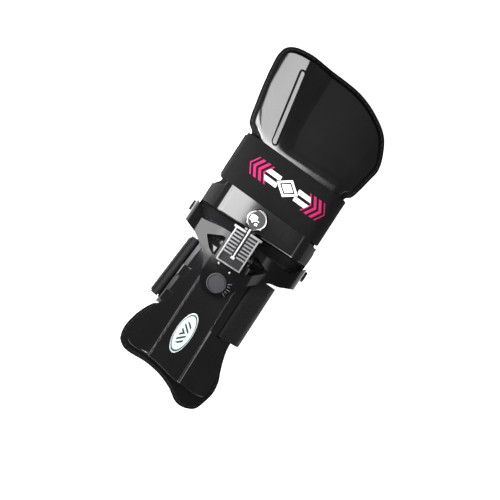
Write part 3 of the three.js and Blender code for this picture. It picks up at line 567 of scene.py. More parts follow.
@dataclass(frozen=True)
class CapMetal:
    """Grey turned cap: fine rings round its middle and a painted highlight on its rim."""

    name: str
    centre: tuple[float, float]
    radius: float
    color: Color = (0.03, 0.03, 0.033)

    def material(self) -> bpy.types.Material:
        """Makes the material.

        Returns:
            The material.
        """
        paint = Paint(self.name, Metallic=0.75)
        x, y, _ = paint.split(paint.places())
        dx, dy = x - self.centre[0], y - self.centre[1]
        out = (dx * dx + dy * dy).math("SQRT")
        rings = out.wave(0.45)
        # Painted highlight: the colour is lighter round the rim.
        rim = out.step(self.radius * 0.9, self.radius * 0.95)
        cloud = paint.noise(paint.places(), 2.5, 3.0)
        painted_highlight = tuple(4.5 * c for c in self.color)
        paint.set("Base Color", paint.blend(rim * 0.8 + cloud * 0.12, self.color, painted_highlight))
        paint.set("Roughness", 0.5 - rim * 0.25 + cloud * 0.12)
        paint.bump(rings * 0.012 + cloud * 0.006)
        return paint.material


@dataclass(frozen=True)
class BadgeGloss:
    """White domed badge with a thin dark ring and a plain chevron mark."""

    name: str
    centre: tuple[float, float]
    half: tuple[float, float]
    color: Color = (0.62, 0.72, 0.72)
    ink: Color = (0.006, 0.012, 0.018)

    def material(self) -> bpy.types.Material:
        """Makes the material.

        Returns:
            The material.
        """
        paint = Paint(self.name, Coat_Weight=0.6, Coat_Roughness=0.05)
        x, y, _ = paint.split(paint.places())
        dx, dy = x - self.centre[0], y - self.centre[1]
        across, along = dx / self.half[0], dy / self.half[1]
        out = (across * across + along * along).math("SQRT")
        ring = out.step(0.84, 0.86) * out.step(0.95, 0.92)
        lean = abs(dy) + dx * 0.9
        marks = abs((lean + 1.9) % 3.8 - 1.9).step(1.02, 0.88)
        inside = abs(dx).step(2.7, 2.55) * abs(dy).step(8.8, 8.6)
        cloud = paint.noise(paint.places(), 3.0, 3.0)
        ink = (ring + marks * inside).math("MINIMUM", 1.0)
        grey = tuple(0.9 * c for c in self.color)
        base = paint.blend(cloud * 0.4, self.color, grey)
        paint.set("Base Color", paint.blend(ink * 0.95, base, self.ink))
        paint.set("Roughness", cloud * 0.08 + 0.16)
        paint.bump(ink * -0.03 + cloud * 0.004)
        return paint.material


@dataclass(frozen=True)
class Thread:
    """Twisted sewing thread."""

    name: str
    color: Color = (0.012, 0.012, 0.013)

    def material(self) -> bpy.types.Material:
        """Makes the material.

        Returns:
            The material.
        """
        paint = Paint(self.name, Sheen_Weight=0.05, Specular_IOR_Level=0.2)
        x, y, z = paint.split(paint.places())
        twist = (x + y + z).wave(0.35)
        light = tuple(3 * c for c in self.color)
        paint.set("Base Color", paint.blend(twist, self.color, light))
        paint.set("Roughness", 0.75 - twist * 0.15)
        paint.bump(twist * 0.04)
        return paint.material


@dataclass(frozen=True)
class Paper:
    """Plain pale floor, lit from under like a light table."""

    name: str
    color: Color = (0.9, 0.9, 0.9)
    glow: float = 0.95

    def material(self) -> bpy.types.Material:
        """Makes the material.

        Returns:
            The material.
        """
        light = {"Emission_Color": (1, 1, 1, 1), "Emission_Strength": self.glow}
        paint = Paint(self.name, Specular_IOR_Level=0.1, **light)
        cloud = paint.noise(paint.places(), 60.0, 2.0)
        grey = tuple(0.985 * c for c in self.color)
        paint.set("Base Color", paint.blend(cloud, self.color, grey))
        paint.set("Roughness", 0.9 + cloud * 0.05)
        return paint.material


# Lines and surfaces


def smooth_line(points: Sequence[Sequence[float]], count: int = 90) -> Points:
    """Smooth line through points, evenly spaced along its length.

    Args:
        points: the points it passes, in order.
        count: how many points the result has.

    Returns:
        An array of count points.
    """
    knots = np.array(points, float)
    ends = np.vstack([2 * knots[0] - knots[1], knots, 2 * knots[-1] - knots[-2]])
    pieces = []
    for i in range(1, len(ends) - 2):
        a, b, c, d = ends[i - 1 : i + 3]
        t = np.linspace(0, 1, 16, endpoint=False)[:, None]
        tangent_b = (c - a) * np.linalg.norm(c - b) / max(np.linalg.norm(c - b) + np.linalg.norm(b - a), 1e-9)
        tangent_c = (d - b) * np.linalg.norm(c - b) / max(np.linalg.norm(d - c) + np.linalg.norm(c - b), 1e-9)
        h = 2 * t**3 - 3 * t**2 + 1, t**3 - 2 * t**2 + t, -2 * t**3 + 3 * t**2, t**3 - t**2
        pieces.append(h[0] * b + h[1] * tangent_b + h[2] * c + h[3] * tangent_c)
    return even(np.vstack([*pieces, knots[-1:]]), count)


def chained(sides: Sequence[Sequence[Sequence[float]]], count: int = 130) -> list[Points]:
    """Smooth line through several sides in turn, cut again where they meet.

    Args:
        sides: the points of each side. Each starts where the one before it ends.
        count: how many points each cut part has.

    Returns:
        The parts, in the same order.
    """
    points = [sides[0][0]]
    for side in sides:
        points += side[1:]
    whole = smooth_line(points, 12 * count)
    ends = [0]
    for side in sides[:-1]:
        far = np.linalg.norm(whole - np.array(side[-1]), axis=1)
        far[: ends[-1] + 1] = np.inf
        ends.append(int(far.argmin()))
    ends.append(len(whole) - 1)
    return [even(whole[a : b + 1], count) for a, b in zip(ends[:-1], ends[1:])]


def even(line: Points, count: int) -> Points:
    """Spaces a line's points evenly along its length.

    Args:
        line: its points.
        count: how many points the result has.

    Returns:
        The new points.
    """
    run = np.concatenate([[0], np.cumsum(np.linalg.norm(np.diff(line, axis=0), axis=1))])
    at = np.linspace(0, run[-1], count)
    return np.stack([np.interp(at, run, column) for column in line.T], 1)


def sideways(line: Points, distance: float) -> Points:
    """Moves an open line to the left of its way.

    Args:
        line: its points.
        distance: how far.

    Returns:
        The moved points.
    """
    way = np.gradient(line, axis=0)
    normal = np.stack([-way[:, 1], way[:, 0]], 1)
    return line + distance * normal / np.linalg.norm(normal, axis=1)[:, None]


def rounded(points: Sequence[Sequence[float]], radius: float, closed: bool = False, steps: int = 6) -> Points:
    """Line whose corners are rounded.

    Args:
        points: its corners.
        radius: how far from a corner the bend starts, at most.
        closed: whether the last corner joins the first.
        steps: parts of each bend.

    Returns:
        The points of the line.
    """
    corners = np.array(points, float)
    made = []
    for i, corner in enumerate(corners):
        if not closed and i in (0, len(corners) - 1):
            made.append(corner)
            continue
        before, after = corners[i - 1], corners[(i + 1) % len(corners)]
        back, on = np.linalg.norm(before - corner), np.linalg.norm(after - corner)
        reach = min(radius, 0.45 * back, 0.45 * on)
        start, end = corner + (before - corner) * reach / back, corner + (after - corner) * reach / on
        for t in np.linspace(0, 1, steps + 1):
            made.append((1 - t) ** 2 * start + 2 * t * (1 - t) * corner + t**2 * end)
    return np.array(made)


def ramp(distance: Points, radius: float) -> Points:
    """0 before a bend and the distance past it after, rounded over the radius on each side."""
    share = np.clip((distance + radius) / (2 * radius), 0, 1)
    return np.where(distance >= radius, distance, radius * share**2)


def ease(value: Points, low: float, high: float) -> Points:
    """Smooth step from 0 at low to 1 at high."""
    share = np.clip((value - low) / (high - low), 0, 1)
    return share * share * (3 - 2 * share)


@dataclass(frozen=True)
class Outline:
    """Four-sided outline of a sheet, seen from above, which spreads a grid evenly inside it."""

    left: Points
    right: Points
    rear: Points
    front: Points

    def spread(self, u: Points, v: Points) -> tuple[Points, Points]:
        """Places inside the outline.

        Args:
            u: shares across, from left to right.
            v: shares along, from rear to front.

        Returns:
            The x and y of each place.
        """

        def along(line: Points, share: Points) -> Points:
            """Places at shares of the length of one side."""
            at = np.linspace(0, 1, len(line))
            return np.stack([np.interp(share, at, column) for column in line.T], 1)

        u1, v1 = u[:, None], v[:, None]
        sides = (1 - u1) * along(self.left, v) + u1 * along(self.right, v)
        ends = (1 - v1) * along(self.rear, u) + v1 * along(self.front, u)
        corners = (1 - v1) * ((1 - u1) * self.left[0] + u1 * self.right[0])
        corners = corners + v1 * ((1 - u1) * self.left[-1] + u1 * self.right[-1])
        made = sides + ends - corners
        return made[:, 0], made[:, 1]

    def inset(self, distance: float) -> Outline:
        """Moves the outline inwards.

        Args:
            distance: how far.

        Returns:
            The new outline.
        """
        loop = np.vstack([self.rear[:-1], self.right[:-1], self.front[::-1][:-1], self.left[::-1][:-1]])
        way = np.roll(loop, -1, 0) - np.roll(loop, 1, 0)
        normal = np.stack([-way[:, 1], way[:, 0]], 1)
        moved = loop + distance * normal / np.linalg.norm(normal, axis=1)[:, None]
        counts = [len(side) - 1 for side in (self.rear, self.right, self.front, self.left)]
        ends = np.cumsum([0, *counts])
        around = np.vstack([moved, moved[:1]])
        rear, right, front, left = (around[a : b + 1] for a, b in zip(ends[:-1], ends[1:]))
        return Outline(left[::-1], right, rear, front[::-1])

    def loop(self) -> Points:
        """The closed outline, counter-clockwise, with its first point at the end again."""
        return np.vstack([self.rear[:-1], self.right[:-1], self.front[::-1][:-1], self.left[::-1]])


# Modelling


def only(piece: bpy.types.Object | None) -> None:
    """Selects one object, or nothing.

    Args:
        piece: the object, or None.
    """
    for other in bpy.context.selected_objects:
        other.select_set(False)
    bpy.context.view_layer.objects.active = piece
    if piece is not None:
        piece.select_set(True)


def finish_with(piece: bpy.types.Object, kind: str, **settings: object) -> None:
    """Adds a modifier and applies it.

    Args:
        piece: the object.
        kind: Blender's name of the modifier type.
        settings: the modifier's properties.
    """
    only(piece)
    modifier = piece.modifiers.new(kind, kind)
    for key, value in settings.items():
        setattr(modifier, key, value)
    bpy.ops.object.modifier_apply(modifier=modifier.name)


def move_points(piece: bpy.types.Object, where: Callable[[Points], Points]) -> None:
    """Moves each vertex.

    Args:
        piece: the object.
        where: takes the vertices' places and gives the new ones.
    """
    places = np.empty(len(piece.data.vertices) * 3)
    piece.data.vertices.foreach_get("co", places)
    piece.data.vertices.foreach_set("co", where(places.reshape(-1, 3)).ravel())
    piece.data.update()


def at_origin(piece: bpy.types.Object) -> None:
    """Puts an object's place, turn and scale into its mesh."""
    only(piece)
    bpy.ops.object.transform_apply(location=True, rotation=True, scale=True)


def grid(name: str, columns: int, rows: int, where: Callable[[Points, Points], Points]) -> bpy.types.Object:
    """Grid primitive whose points lie on a surface, with a UV map in metres along it.

    Args:
        name: the piece's name.
        columns: cells across.
        rows: cells along.
        where: takes the shares across and along, from 0 to 1, and gives the places.

    Returns:
        The new object.
    """
    only(None)
    bpy.ops.mesh.primitive_grid_add(x_subdivisions=columns, y_subdivisions=rows, size=1.0)
    piece = bpy.context.active_object
    piece.name = piece.data.name = name
    move_points(piece, lambda p: where(p[:, 0] + 0.5, p[:, 1] + 0.5))
    middle = np.full(columns + 1, 0.5)
    shares = np.linspace(0, 1, columns + 1)
    across = np.linalg.norm(np.diff(where(shares, middle), axis=0), axis=1).sum()
    middle, shares = np.full(rows + 1, 0.5), np.linspace(0, 1, rows + 1)
    along = np.linalg.norm(np.diff(where(middle, shares), axis=0), axis=1).sum()
    uv = np.empty(len(piece.data.loops) * 2)
    piece.data.uv_layers.active.data.foreach_get("uv", uv)
    uv = uv.reshape(-1, 2) * [across, along]
    piece.data.uv_layers.active.data.foreach_set("uv", uv.ravel())
    return piece


def from_frame(name: str, node: str, edge: float, angle: float = 32.0) -> bpy.types.Object:
    """Copy of a CAD node with flat faces joined and its edges rounded.

    Args:
        name: the new piece's name.
        node: the CAD node.
        edge: width of the rounding.
        angle: faces that meet at more than this, in degrees, are rounded between.

    Returns:
        The new object.
    """
    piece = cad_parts[node].copy()
    piece.data = piece.data.copy()
    for key in [k for k in piece.keys() if k.startswith("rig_")]:
        del piece[key]
    piece.parent = None
    piece.name = piece.data.name = name
    bpy.context.scene.collection.objects.link(piece)
    piece.hide_viewport = piece.hide_render = False
    piece.hide_set(False)
    only(piece)
    bpy.ops.object.mode_set(mode="EDIT")
    bpy.ops.mesh.select_all(action="SELECT")
    bpy.ops.mesh.remove_doubles(threshold=1e-6)
    bpy.ops.mesh.dissolve_limited(angle_limit=math.radians(1.0))
    bpy.ops.mesh.normals_make_consistent(inside=False)
    bpy.ops.object.mode_set(mode="OBJECT")
    finish_with(
        piece,
        "BEVEL",
        width=edge,
        segments=3,
        limit_method="ANGLE",
        angle_limit=math.radians(angle),
        miter_outer="MITER_ARC",
    )
    return piece


def outwards(piece: bpy.types.Object) -> None:
    """Turns a closed piece's faces outwards.

    Args:
        piece: the object.
    """
    only(piece)
    bpy.ops.object.mode_set(mode="EDIT")
    bpy.ops.mesh.select_all(action="SELECT")
    bpy.ops.mesh.normals_make_consistent(inside=False)
    bpy.ops.object.mode_set(mode="OBJECT")


def round_piece(name: str, profile: Sequence[tuple[float, float]], sides: int = 64) -> bpy.types.Object:
    """Solid turned about Z: a circle filled, then extruded and scaled step by step along a profile.

    Args:
        name: the piece's name.
        profile: radius and height of each step, from the foot to the crown.
        sides: corners of the circle.

    Returns:
        The new object, standing on the origin.
    """
    only(None)
    radius, height = profile[0]
    place = (0, 0, height)
    bpy.ops.mesh.primitive_circle_add(vertices=sides, radius=radius, fill_type="NGON", location=place)
    piece = bpy.context.active_object
    piece.name = piece.data.name = name
    at_origin(piece)
    bpy.ops.object.mode_set(mode="EDIT")
    bpy.ops.mesh.select_mode(type="FACE")
    bpy.ops.mesh.select_all(action="SELECT")
    for wide, high in profile[1:]:
        bpy.ops.mesh.extrude_region_move(TRANSFORM_OT_translate={"value": (0, 0, high - height)})
        share = wide / radius
        bpy.ops.transform.resize(value=(share, share, 1), center_override=(0, 0, high))
        radius, height = wide, high
    bpy.ops.mesh.select_all(action="SELECT")
    bpy.ops.mesh.normals_make_consistent(inside=False)
    bpy.ops.object.mode_set(mode="OBJECT")
    return piece


def rim_of(piece: bpy.types.Object, width: float, segments: int = 3, angle: float = 50.0) -> None:
    """Rounds the sharp edges of a piece.

    Args:
        piece: the object.
        width: width of the rounding.
        segments: its steps.
        angle: edges sharper than this, in degrees, are rounded.
    """
    finish_with(
        piece,
        "BEVEL",
        width=width,
        segments=segments,
        limit_method="ANGLE",
        angle_limit=math.radians(angle),
        use_clamp_overlap=True,
    )


def shade(piece: bpy.types.Object, angle: float = 40.0) -> None:
    """Shades a piece smooth, with its broad faces kept flat.

    Args:
        piece: the object.
        angle: edges sharper than this, in degrees, stay hard.
    """
    only(piece)
    bpy.ops.object.shade_smooth_by_angle(angle=math.radians(angle))
    finish_with(piece, "WEIGHTED_NORMAL", keep_sharp=True, weight=90)


def copies(
    piece: bpy.types.Object, name: str, moves: Sequence[Callable[[Points], Points]]
) -> bpy.types.Object:
    """Copies a small piece to many places and joins the copies into one object.

    Args:
        piece: the piece that is copied. It is deleted.
        name: the joined object's name.
        moves: for each copy, a function that puts its points in place.

    Returns:
        The joined object.
    """
    made = []
    for move in moves:
        copy = piece.copy()
        copy.data = piece.data.copy()
        bpy.context.scene.collection.objects.link(copy)
        move_points(copy, move)
        made.append(copy)
    bpy.data.objects.remove(piece)
    only(made[0])
    for copy in made:
        copy.select_set(True)
    bpy.ops.object.join()
    joined = bpy.context.active_object
    joined.name = joined.data.name = name
    return joined


def dress(
    piece: bpy.types.Object,
    finish: bpy.types.Material,
    body: str,
    stands_for: Sequence[str] = (),
) -> bpy.types.Object:
    """Gives a piece its finish and its body, and reports it.

    Args:
        piece: the finished mesh.
        finish: its material.
        body: the CAD body that it moves with.
        stands_for: the CAD nodes that it replaces.

    Returns:
        The piece.
    """
    piece.data.materials.clear()
    piece.data.materials.append(finish)
    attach(piece, body)
    if stands_for:
        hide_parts(*stands_for)
    LOG.info("%s: %d faces, moves with %s", piece.name, len(piece.data.polygons), body)
    return piece


# Hand side


@dataclass
class HandSurface:
    """The formed top of the hand plate: flat panel, fold, cup and side flanges."""

    pad_box: tuple[Vector, Vector] = field(default_factory=lambda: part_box("hand_pad"))
    top: float = 48 * MM
    cup_depth: float = 16 * MM
    flange_slope: float = 1.1
    fold_radius: float = 2.5 * MM
    flange_radius: float = 3.5 * MM
    length: float = 140.4 * MM
    # Share along the hand, left bend, fold, crease, right bend, left flange, right flange, cup
    stations: Points = field(
        default_factory=lambda: np.array(
            [
                (-0.02, -0.554, -0.33, -0.2, 0.69, 1, 1, 0),
                (0.22, -0.554, -0.33, -0.2, 0.69, 1, 1, 0),
                (0.49, -0.554, -0.33, -0.2, 0.69, 1, 1, 0),
                (0.515, -0.62, -0.33, -0.18, 0.7, 0.5, 0.75, 0.02),
                (0.545, -0.72, -0.33, -0.16, 0.72, 0.3, 0.55, 0.1),
                (0.626, -0.84, -0.37, -0.22, 0.76, 0.2, 0.4, 0.28),
                (0.754, -0.92, -0.45, -0.25, 0.8, 0.16, 0.32, 0.53),
                (0.882, -0.94, -0.51, -0.255, 0.8, 0.16, 0.3, 0.78),
                (1.02, -0.94, -0.56, -0.26, 0.8, 0.16, 0.3, 1.02),
            ]
        )
    )

    def __post_init__(self) -> None:
        """Works out the pad's half width, middle and rear edge from the frame."""
        low, high = self.pad_box
        self.half = (high.x - low.x) / 2
        self.middle = (high.x + low.x) / 2
        self.front = high.y
        self.rear = high.y - self.length

    def at_station(self, column: int, y: Points) -> Points:
        """Reads a column of the stations' table, eased between its rows.

        Args:
            column: which column.
            y: places along the hand.

        Returns:
            Its value at each place.
        """
        along = np.linspace(-0.05, 1.05, 441)
        value = np.interp(along, self.stations[:, 0], self.stations[:, column])
        window = np.hanning(17)
        padded = np.pad(value, 8, mode="edge")
        eased = np.convolve(padded, window / window.sum(), mode="valid")
        return np.interp((y - self.rear) / self.length, along, eased)

    def height(self, x: Points, y: Points) -> Points:
        """Works out how high the plate's top is.

        Args:
            x: places across.
            y: places along.

        Returns:
            Heights over the floor.
        """
        left, fold, crease, right = (self.middle + self.half * self.at_station(k, y) for k in (1, 2, 3, 4))
        drop = self.cup_depth * self.at_station(7, y)
        wall = (ramp(x - fold, self.fold_radius) - ramp(x - crease, self.fold_radius)) / (crease - fold)
        fall_left = self.flange_slope * self.at_station(5, y) * ramp(left - x, self.flange_radius)
        fall_right = self.flange_slope * self.at_station(6, y) * ramp(x - right, self.flange_radius)
        return self.top - drop * wall - fall_left - fall_right

    def under(self, x: Points, y: Points, depth: float) -> Points:
        """Works out places under the surface.

        Args:
            x: places across.
            y: places along.
            depth: how far under, measured square to the surface.

        Returns:
            The places.
        """
        tiny = 0.1 * MM
        slope_x = (self.height(x + tiny, y) - self.height(x - tiny, y)) / (2 * tiny)
        slope_y = (self.height(x, y + tiny) - self.height(x, y - tiny)) / (2 * tiny)
        square = np.sqrt(1 + slope_x**2 + slope_y**2)
        return np.stack([x, y, self.height(x, y) - depth * square], 1)

    def outline(self) -> Outline:
        """Outline of the pad, from above.

        Returns:
            The outline.
        """
        left = [
            (-0.775, -0.011), (-0.8, 0.165), (-0.725, 0.212), (-0.725, 0.495), (-0.83, 0.535),
            (-0.892, 0.626), (-0.946, 0.728), (-0.986, 0.831), (-1, 0.908), (-0.959, 0.959),
        ]
        front = [
            (-0.959, 0.959), (-0.824, 0.99), (-0.554, 1), (-0.014, 0.99),
            (0.257, 0.974), (0.527, 0.933), (0.797, 0.862),
        ]
        right = [
            (0.86, -0.011), (0.88, 0.145), (0.82, 0.182), (0.82, 0.47), (0.895, 0.5), (0.932, 0.549),
            (0.973, 0.626), (1, 0.692), (0.932, 0.779), (0.797, 0.862),
        ]

        def placed(shares: list[tuple[float, float]]) -> list[tuple[float, float]]:
            """Puts the shares of one side in place."""
            return [(self.middle + a * self.half, self.rear + b * self.length) for a, b in shares]

        left_line, front_line, right_line = chained([placed(left), placed(front), placed(right[::-1])])
        rear_line = even(np.vstack([left_line[:1], right_line[-1:]]), 130)
        return Outline(left_line, right_line[::-1], rear_line, front_line)


@dataclass
class HandShell:
    """Hand plate, its bead, its padding and the padding's stitches."""

    surface: HandSurface
    wall: float = 1.6 * MM
    border: float = 4.4 * MM
    clearance: float = 0.35 * MM
    pad_wall: float = 3.2 * MM
    ear_out: float = 44.95 * MM
    ear_middle: float = 1.733 * MM
    ear_length: float = 16 * MM
    plate_rear: float = 0.2 * MM
    lip: float = 2.2 * MM
    bead_size: tuple[float, float, float] = (6 * MM, 58 * MM, 1.2 * MM)
    bead_share: float = 0.705
    ear_drop: float = 9 * MM
    tab_rise: float = 0.2 * MM
    tab_front: float = 2 * MM

    @property
    def pad_depth(self) -> float:
        """How deep under the plate's top the padding's top lies."""
        return self.wall + 1.5 * self.clearance

    def plate_outline(self) -> Outline:
        """Outline of the plate: the pad's, moved in, with the two ears' roots at the rear.

        Returns:
            The outline.
        """
        inner = self.surface.outline().inset(self.border)
        root = self.plate_rear + self.ear_length

        def side(line: Points, sign: int) -> Points:
            """Cuts one side off over an ear's root and leads it round the ear.

            Args:
                line: the side, from rear to front.
                sign: -1 for the left side, 1 for the right.

            Returns:
                The side with the ear's root.
            """
            out = self.ear_middle + sign * self.ear_out
            kept = line[line[:, 1] > root + 1.6 * MM]
            corner = [(out, self.plate_rear), (out, root - 1.5 * MM), (out - sign * 1.5 * MM, root)]
            return even(np.vstack([corner, kept]), 160)

        left, right = side(inner.left, -1), side(inner.right, 1)
        rear = even(np.vstack([left[:1], right[:1]]), 120)
        return Outline(left, right, rear, inner.front)

    def build_plate(self) -> bpy.types.Object:
        """Makes the formed plate.

        Returns:
            The new object.
        """
        outline = self.plate_outline()

        def where(u: Points, v: Points) -> Points:
            """Places on the plate's top, its rear lip rolled down.

            Args:
                u: shares across.
                v: shares along.

            Returns:
                The places.
            """
            x, y = outline.spread(u, v)
            made = self.surface.under(x, y, 0.0)
            made[:, 2] -= self.lip / 2 * np.clip(1 - (y - self.plate_rear) / self.lip, 0, 1) ** 2
            return made

        plate = grid("hand_plate_enamelled", 128, 220, where)
        finish_with(plate, "SOLIDIFY", thickness=self.wall, offset=-1.0)
        rim_of(plate, 0.45 * MM)
        shade(plate)
        return plate

    def build_ears(self) -> bpy.types.Object:
        """Makes the two hinge ears and the notched tab: a copy of the CAD plate without its sheet.

        Returns:
            The new object.
        """
        piece = from_frame("hand_plate_ears", "hand_plate", 0.3 * MM)
        only(piece)
        top = self.surface.top
        half = self.ear_out - self.wall - 0.2 * MM
        for polygon in piece.data.polygons:
            x, y, z = polygon.center
            low = y < self.plate_rear + self.ear_length and z < top - self.ear_drop
            ear = low and abs(x - self.ear_middle) > half
            tab = z > top + self.tab_rise and y < self.tab_front
            polygon.select = not (ear or tab)
        bpy.ops.object.mode_set(mode="EDIT")
        bpy.ops.mesh.delete(type="FACE")
        bpy.ops.object.mode_set(mode="OBJECT")
        shade(piece)
        return piece

    def build_bead(self) -> bpy.types.Object:
        """Makes the long pressed bead on the flat panel.

        Returns:
            The new object.
        """
        wide, long, high = self.bead_size
        surface = self.surface
        share = (long - wide) / 2 / surface.length
        y = surface.rear + self.bead_share * surface.length
        ends = np.array([y - share * surface.length, y, y + share * surface.length])
        folds = surface.middle + surface.half * surface.at_station(2, ends)
        lean = (folds[2] - folds[0]) / (ends[2] - ends[0])
        x = folds[1] - wide / 2 - 0.2 * surface.fold_radius
        only(None)
        bpy.ops.mesh.primitive_circle_add(vertices=48, radius=wide / 2, fill_type="NGON")
        bead = bpy.context.active_object
        bead.name = bead.data.name = "hand_plate_bead"
        reach = (long - wide) / 2

        def stretched(p: Points) -> Points:
            """Draws the circle out to a long round-ended shape and lays it on the plate.

            Args:
                p: the circle's places.

            Returns:
                The new places.
            """
            q = p.copy()
            q[:, 1] += np.sign(q[:, 1]) * reach * (np.abs(q[:, 1]) > 1e-9)
            return np.stack([x + q[:, 0] + q[:, 1] * lean, y + q[:, 1], np.full(len(q), surface.top)], 1)

        move_points(bead, stretched)
        only(bead)
        bpy.ops.object.mode_set(mode="EDIT")
        bpy.ops.mesh.select_all(action="SELECT")
        for inset, rise in ((0.3, 0.04), (0.42, 0.38), (0.42, 0.38), (0.25, 0.18), (0.25, 0.02)):
            bpy.ops.mesh.inset(thickness=inset * MM)
            bpy.ops.transform.translate(value=(0, 0, rise * high))
        bpy.ops.object.mode_set(mode="OBJECT")
        shade(bead, 55)
        return bead

    def build_pad(self) -> bpy.types.Object:
        """Makes the padding: a soft sheet under the plate, full at its middle and thin at its bound edge.

        Returns:
            The new object.
        """
        outline = self.surface.outline()

        def where(u: Points, v: Points) -> Points:
            """Places on the padding's top."""
            x, y = outline.spread(u, v)
            return self.surface.under(x, y, self.pad_depth)

        pad = grid("hand_pad_foam", 84, 110, where)
        finish_with(pad, "SOLIDIFY", thickness=self.pad_wall, offset=-1.0)
        rim_of(pad, PAD_ROUNDING, 4)
        shade(pad, 60)
        return pad

    def build_binding(self) -> bpy.types.Object:
        """Makes the ribbed tape round the padding's edge.

        Returns:
            The new object.
        """
        return edge_tape(
            "hand_pad_binding",
            self.surface.outline().loop(),
            lambda x, y: self.surface.under(x, y, self.pad_depth + self.pad_wall / 2),
            half_height=self.pad_wall / 2 + TAPE_LIFT,
            reach=TAPE_REACH,
        )

    def build_stitches(self) -> bpy.types.Object:
        """Makes the row of stitches through the tape, on the upper side."""
        line = self.surface.outline().inset(STITCH_INSET).loop()
        return stitch_row("hand_pad_stitches", line, lambda x, y: self.surface.under(x, y, self.pad_depth))

    def build(self, finishes: Finishes) -> None:
        """Builds and dresses the shell.

        Args:
            finishes: the materials.
        """
        dress(self.build_plate(), finishes.enamel, "hand", ["hand_plate"])
        dress(self.build_ears(), finishes.enamel, "hand")
        dress(self.build_bead(), finishes.enamel, "hand")
        pad = dress(self.build_pad(), finishes.knit, "hand", ["hand_pad"])
        dress(self.build_binding(), finishes.tape, "hand")
        dress(self.build_stitches(), finishes.thread, "hand")


def edge_tape(
    name: str,
    loop: Points,
    middle: Callable[[Points, Points], Points],
    half_height: float,
    reach: float,
) -> bpy.types.Object:
    """Tape folded round the edge of a sheet.

    Args:
        name: the piece's name.
        loop: the sheet's outline from above, with its first point at the end again.
        middle: gives the place halfway through the sheet's wall.
        half_height: half the sheet's wall, with the tape on it.
        reach: how far the tape reaches in from the edge.

    Returns:
        The new object.
    """
    around = even(loop, 361)
    way = np.roll(around[:-1], -1, 0) - np.roll(around[:-1], 1, 0)
    way = np.vstack([way, way[:1]])
    inward = np.stack([-way[:, 1], way[:, 0]], 1)
    inward /= np.linalg.norm(inward, axis=1)[:, None]
    fold = [(reach, 1.0), (0.75 * reach, 1.0), (0.45 * reach, 1.0), (0.2 * reach, 0.92), (0.05 * reach, 0.65)]
    section = [*fold, (-0.02 * reach, 0.25), (-0.02 * reach, -0.25), *[(a, -b) for a, b in reversed(fold)]]
    section = np.array(section)

    def where(u: Points, v: Points) -> Points:
        """Places on the folded tape.

        Args:
            u: shares round the edge.
            v: shares over the fold, from the upper side to the lower.

        Returns:
            The places.
        """
        at = u * (len(around) - 1)
        spots = np.arange(len(around))
        base = np.stack([np.interp(at, spots, column) for column in around.T], 1)
        turn = np.stack([np.interp(at, spots, column) for column in inward.T], 1)
        share = np.linspace(0, 1, len(section))
        depth, high = (np.interp(v, share, column) for column in section.T)
        place = base + turn * depth[:, None]
        made = middle(place[:, 0], place[:, 1])
        made[:, 2] += high * half_height
        return made

    tape = grid(name, 360, 11, where)
    join_ends(tape)
    finish_with(tape, "SOLIDIFY", thickness=0.35 * MM, offset=0.6)
    shade(tape, 60)
    return tape


def join_ends(piece: bpy.types.Object) -> None:
    """Joins the first and the last column of a grid that runs round a loop.

    Args:
        piece: the grid.
    """
    only(piece)
    bpy.ops.object.mode_set(mode="EDIT")
    bpy.ops.mesh.select_all(action="SELECT")
    bpy.ops.mesh.remove_doubles(threshold=0.02 * MM)
    bpy.ops.object.mode_set(mode="OBJECT")


def stitch_row(name: str, line: Points, where: Callable[[Points, Points], Points]) -> bpy.types.Object:
    """A row of stitches along a line.

    Args:
        name: the piece's name.
        line: the row, from above.
        where: gives the place on the sheet.

    Returns:
        The stitches, as one object.
    """
    length, gap = 2.6 * MM, 1.5 * MM
    count = int(np.linalg.norm(np.diff(line, axis=0), axis=1).sum() / (length + gap))
    spots = even(line, 2 * count + 1)
    ends = where(spots[:, 0], spots[:, 1])
    bpy.ops.object.select_all(action="DESELECT")
    bpy.ops.mesh.primitive_uv_sphere_add(segments=6, ring_count=5, radius=0.5)
    stitch = bpy.context.active_object

    def laid(start: Points, end: Points) -> Callable[[Points], Points]:
        """Makes the move that lays one stitch.

        Args:
            start: where it begins.
            end: where it ends.

        Returns:
            A function that moves its points.
        """
        way = (end - start) / np.linalg.norm(end - start)
        side = np.cross(way, (0, 0, 1))
        side /= np.linalg.norm(side)
        up = np.cross(side, way)
        middle = (start + end) / 2 + up * 0.12 * MM
        frame_of = np.stack([way * length, side * 0.5 * MM, up * 0.45 * MM])
        return lambda p: middle + p @ frame_of

    moves = [laid(ends[2 * i], ends[2 * i + 1]) for i in range(count)]
    row = copies(stitch, name, moves)
    shade(row, 80)
    return row


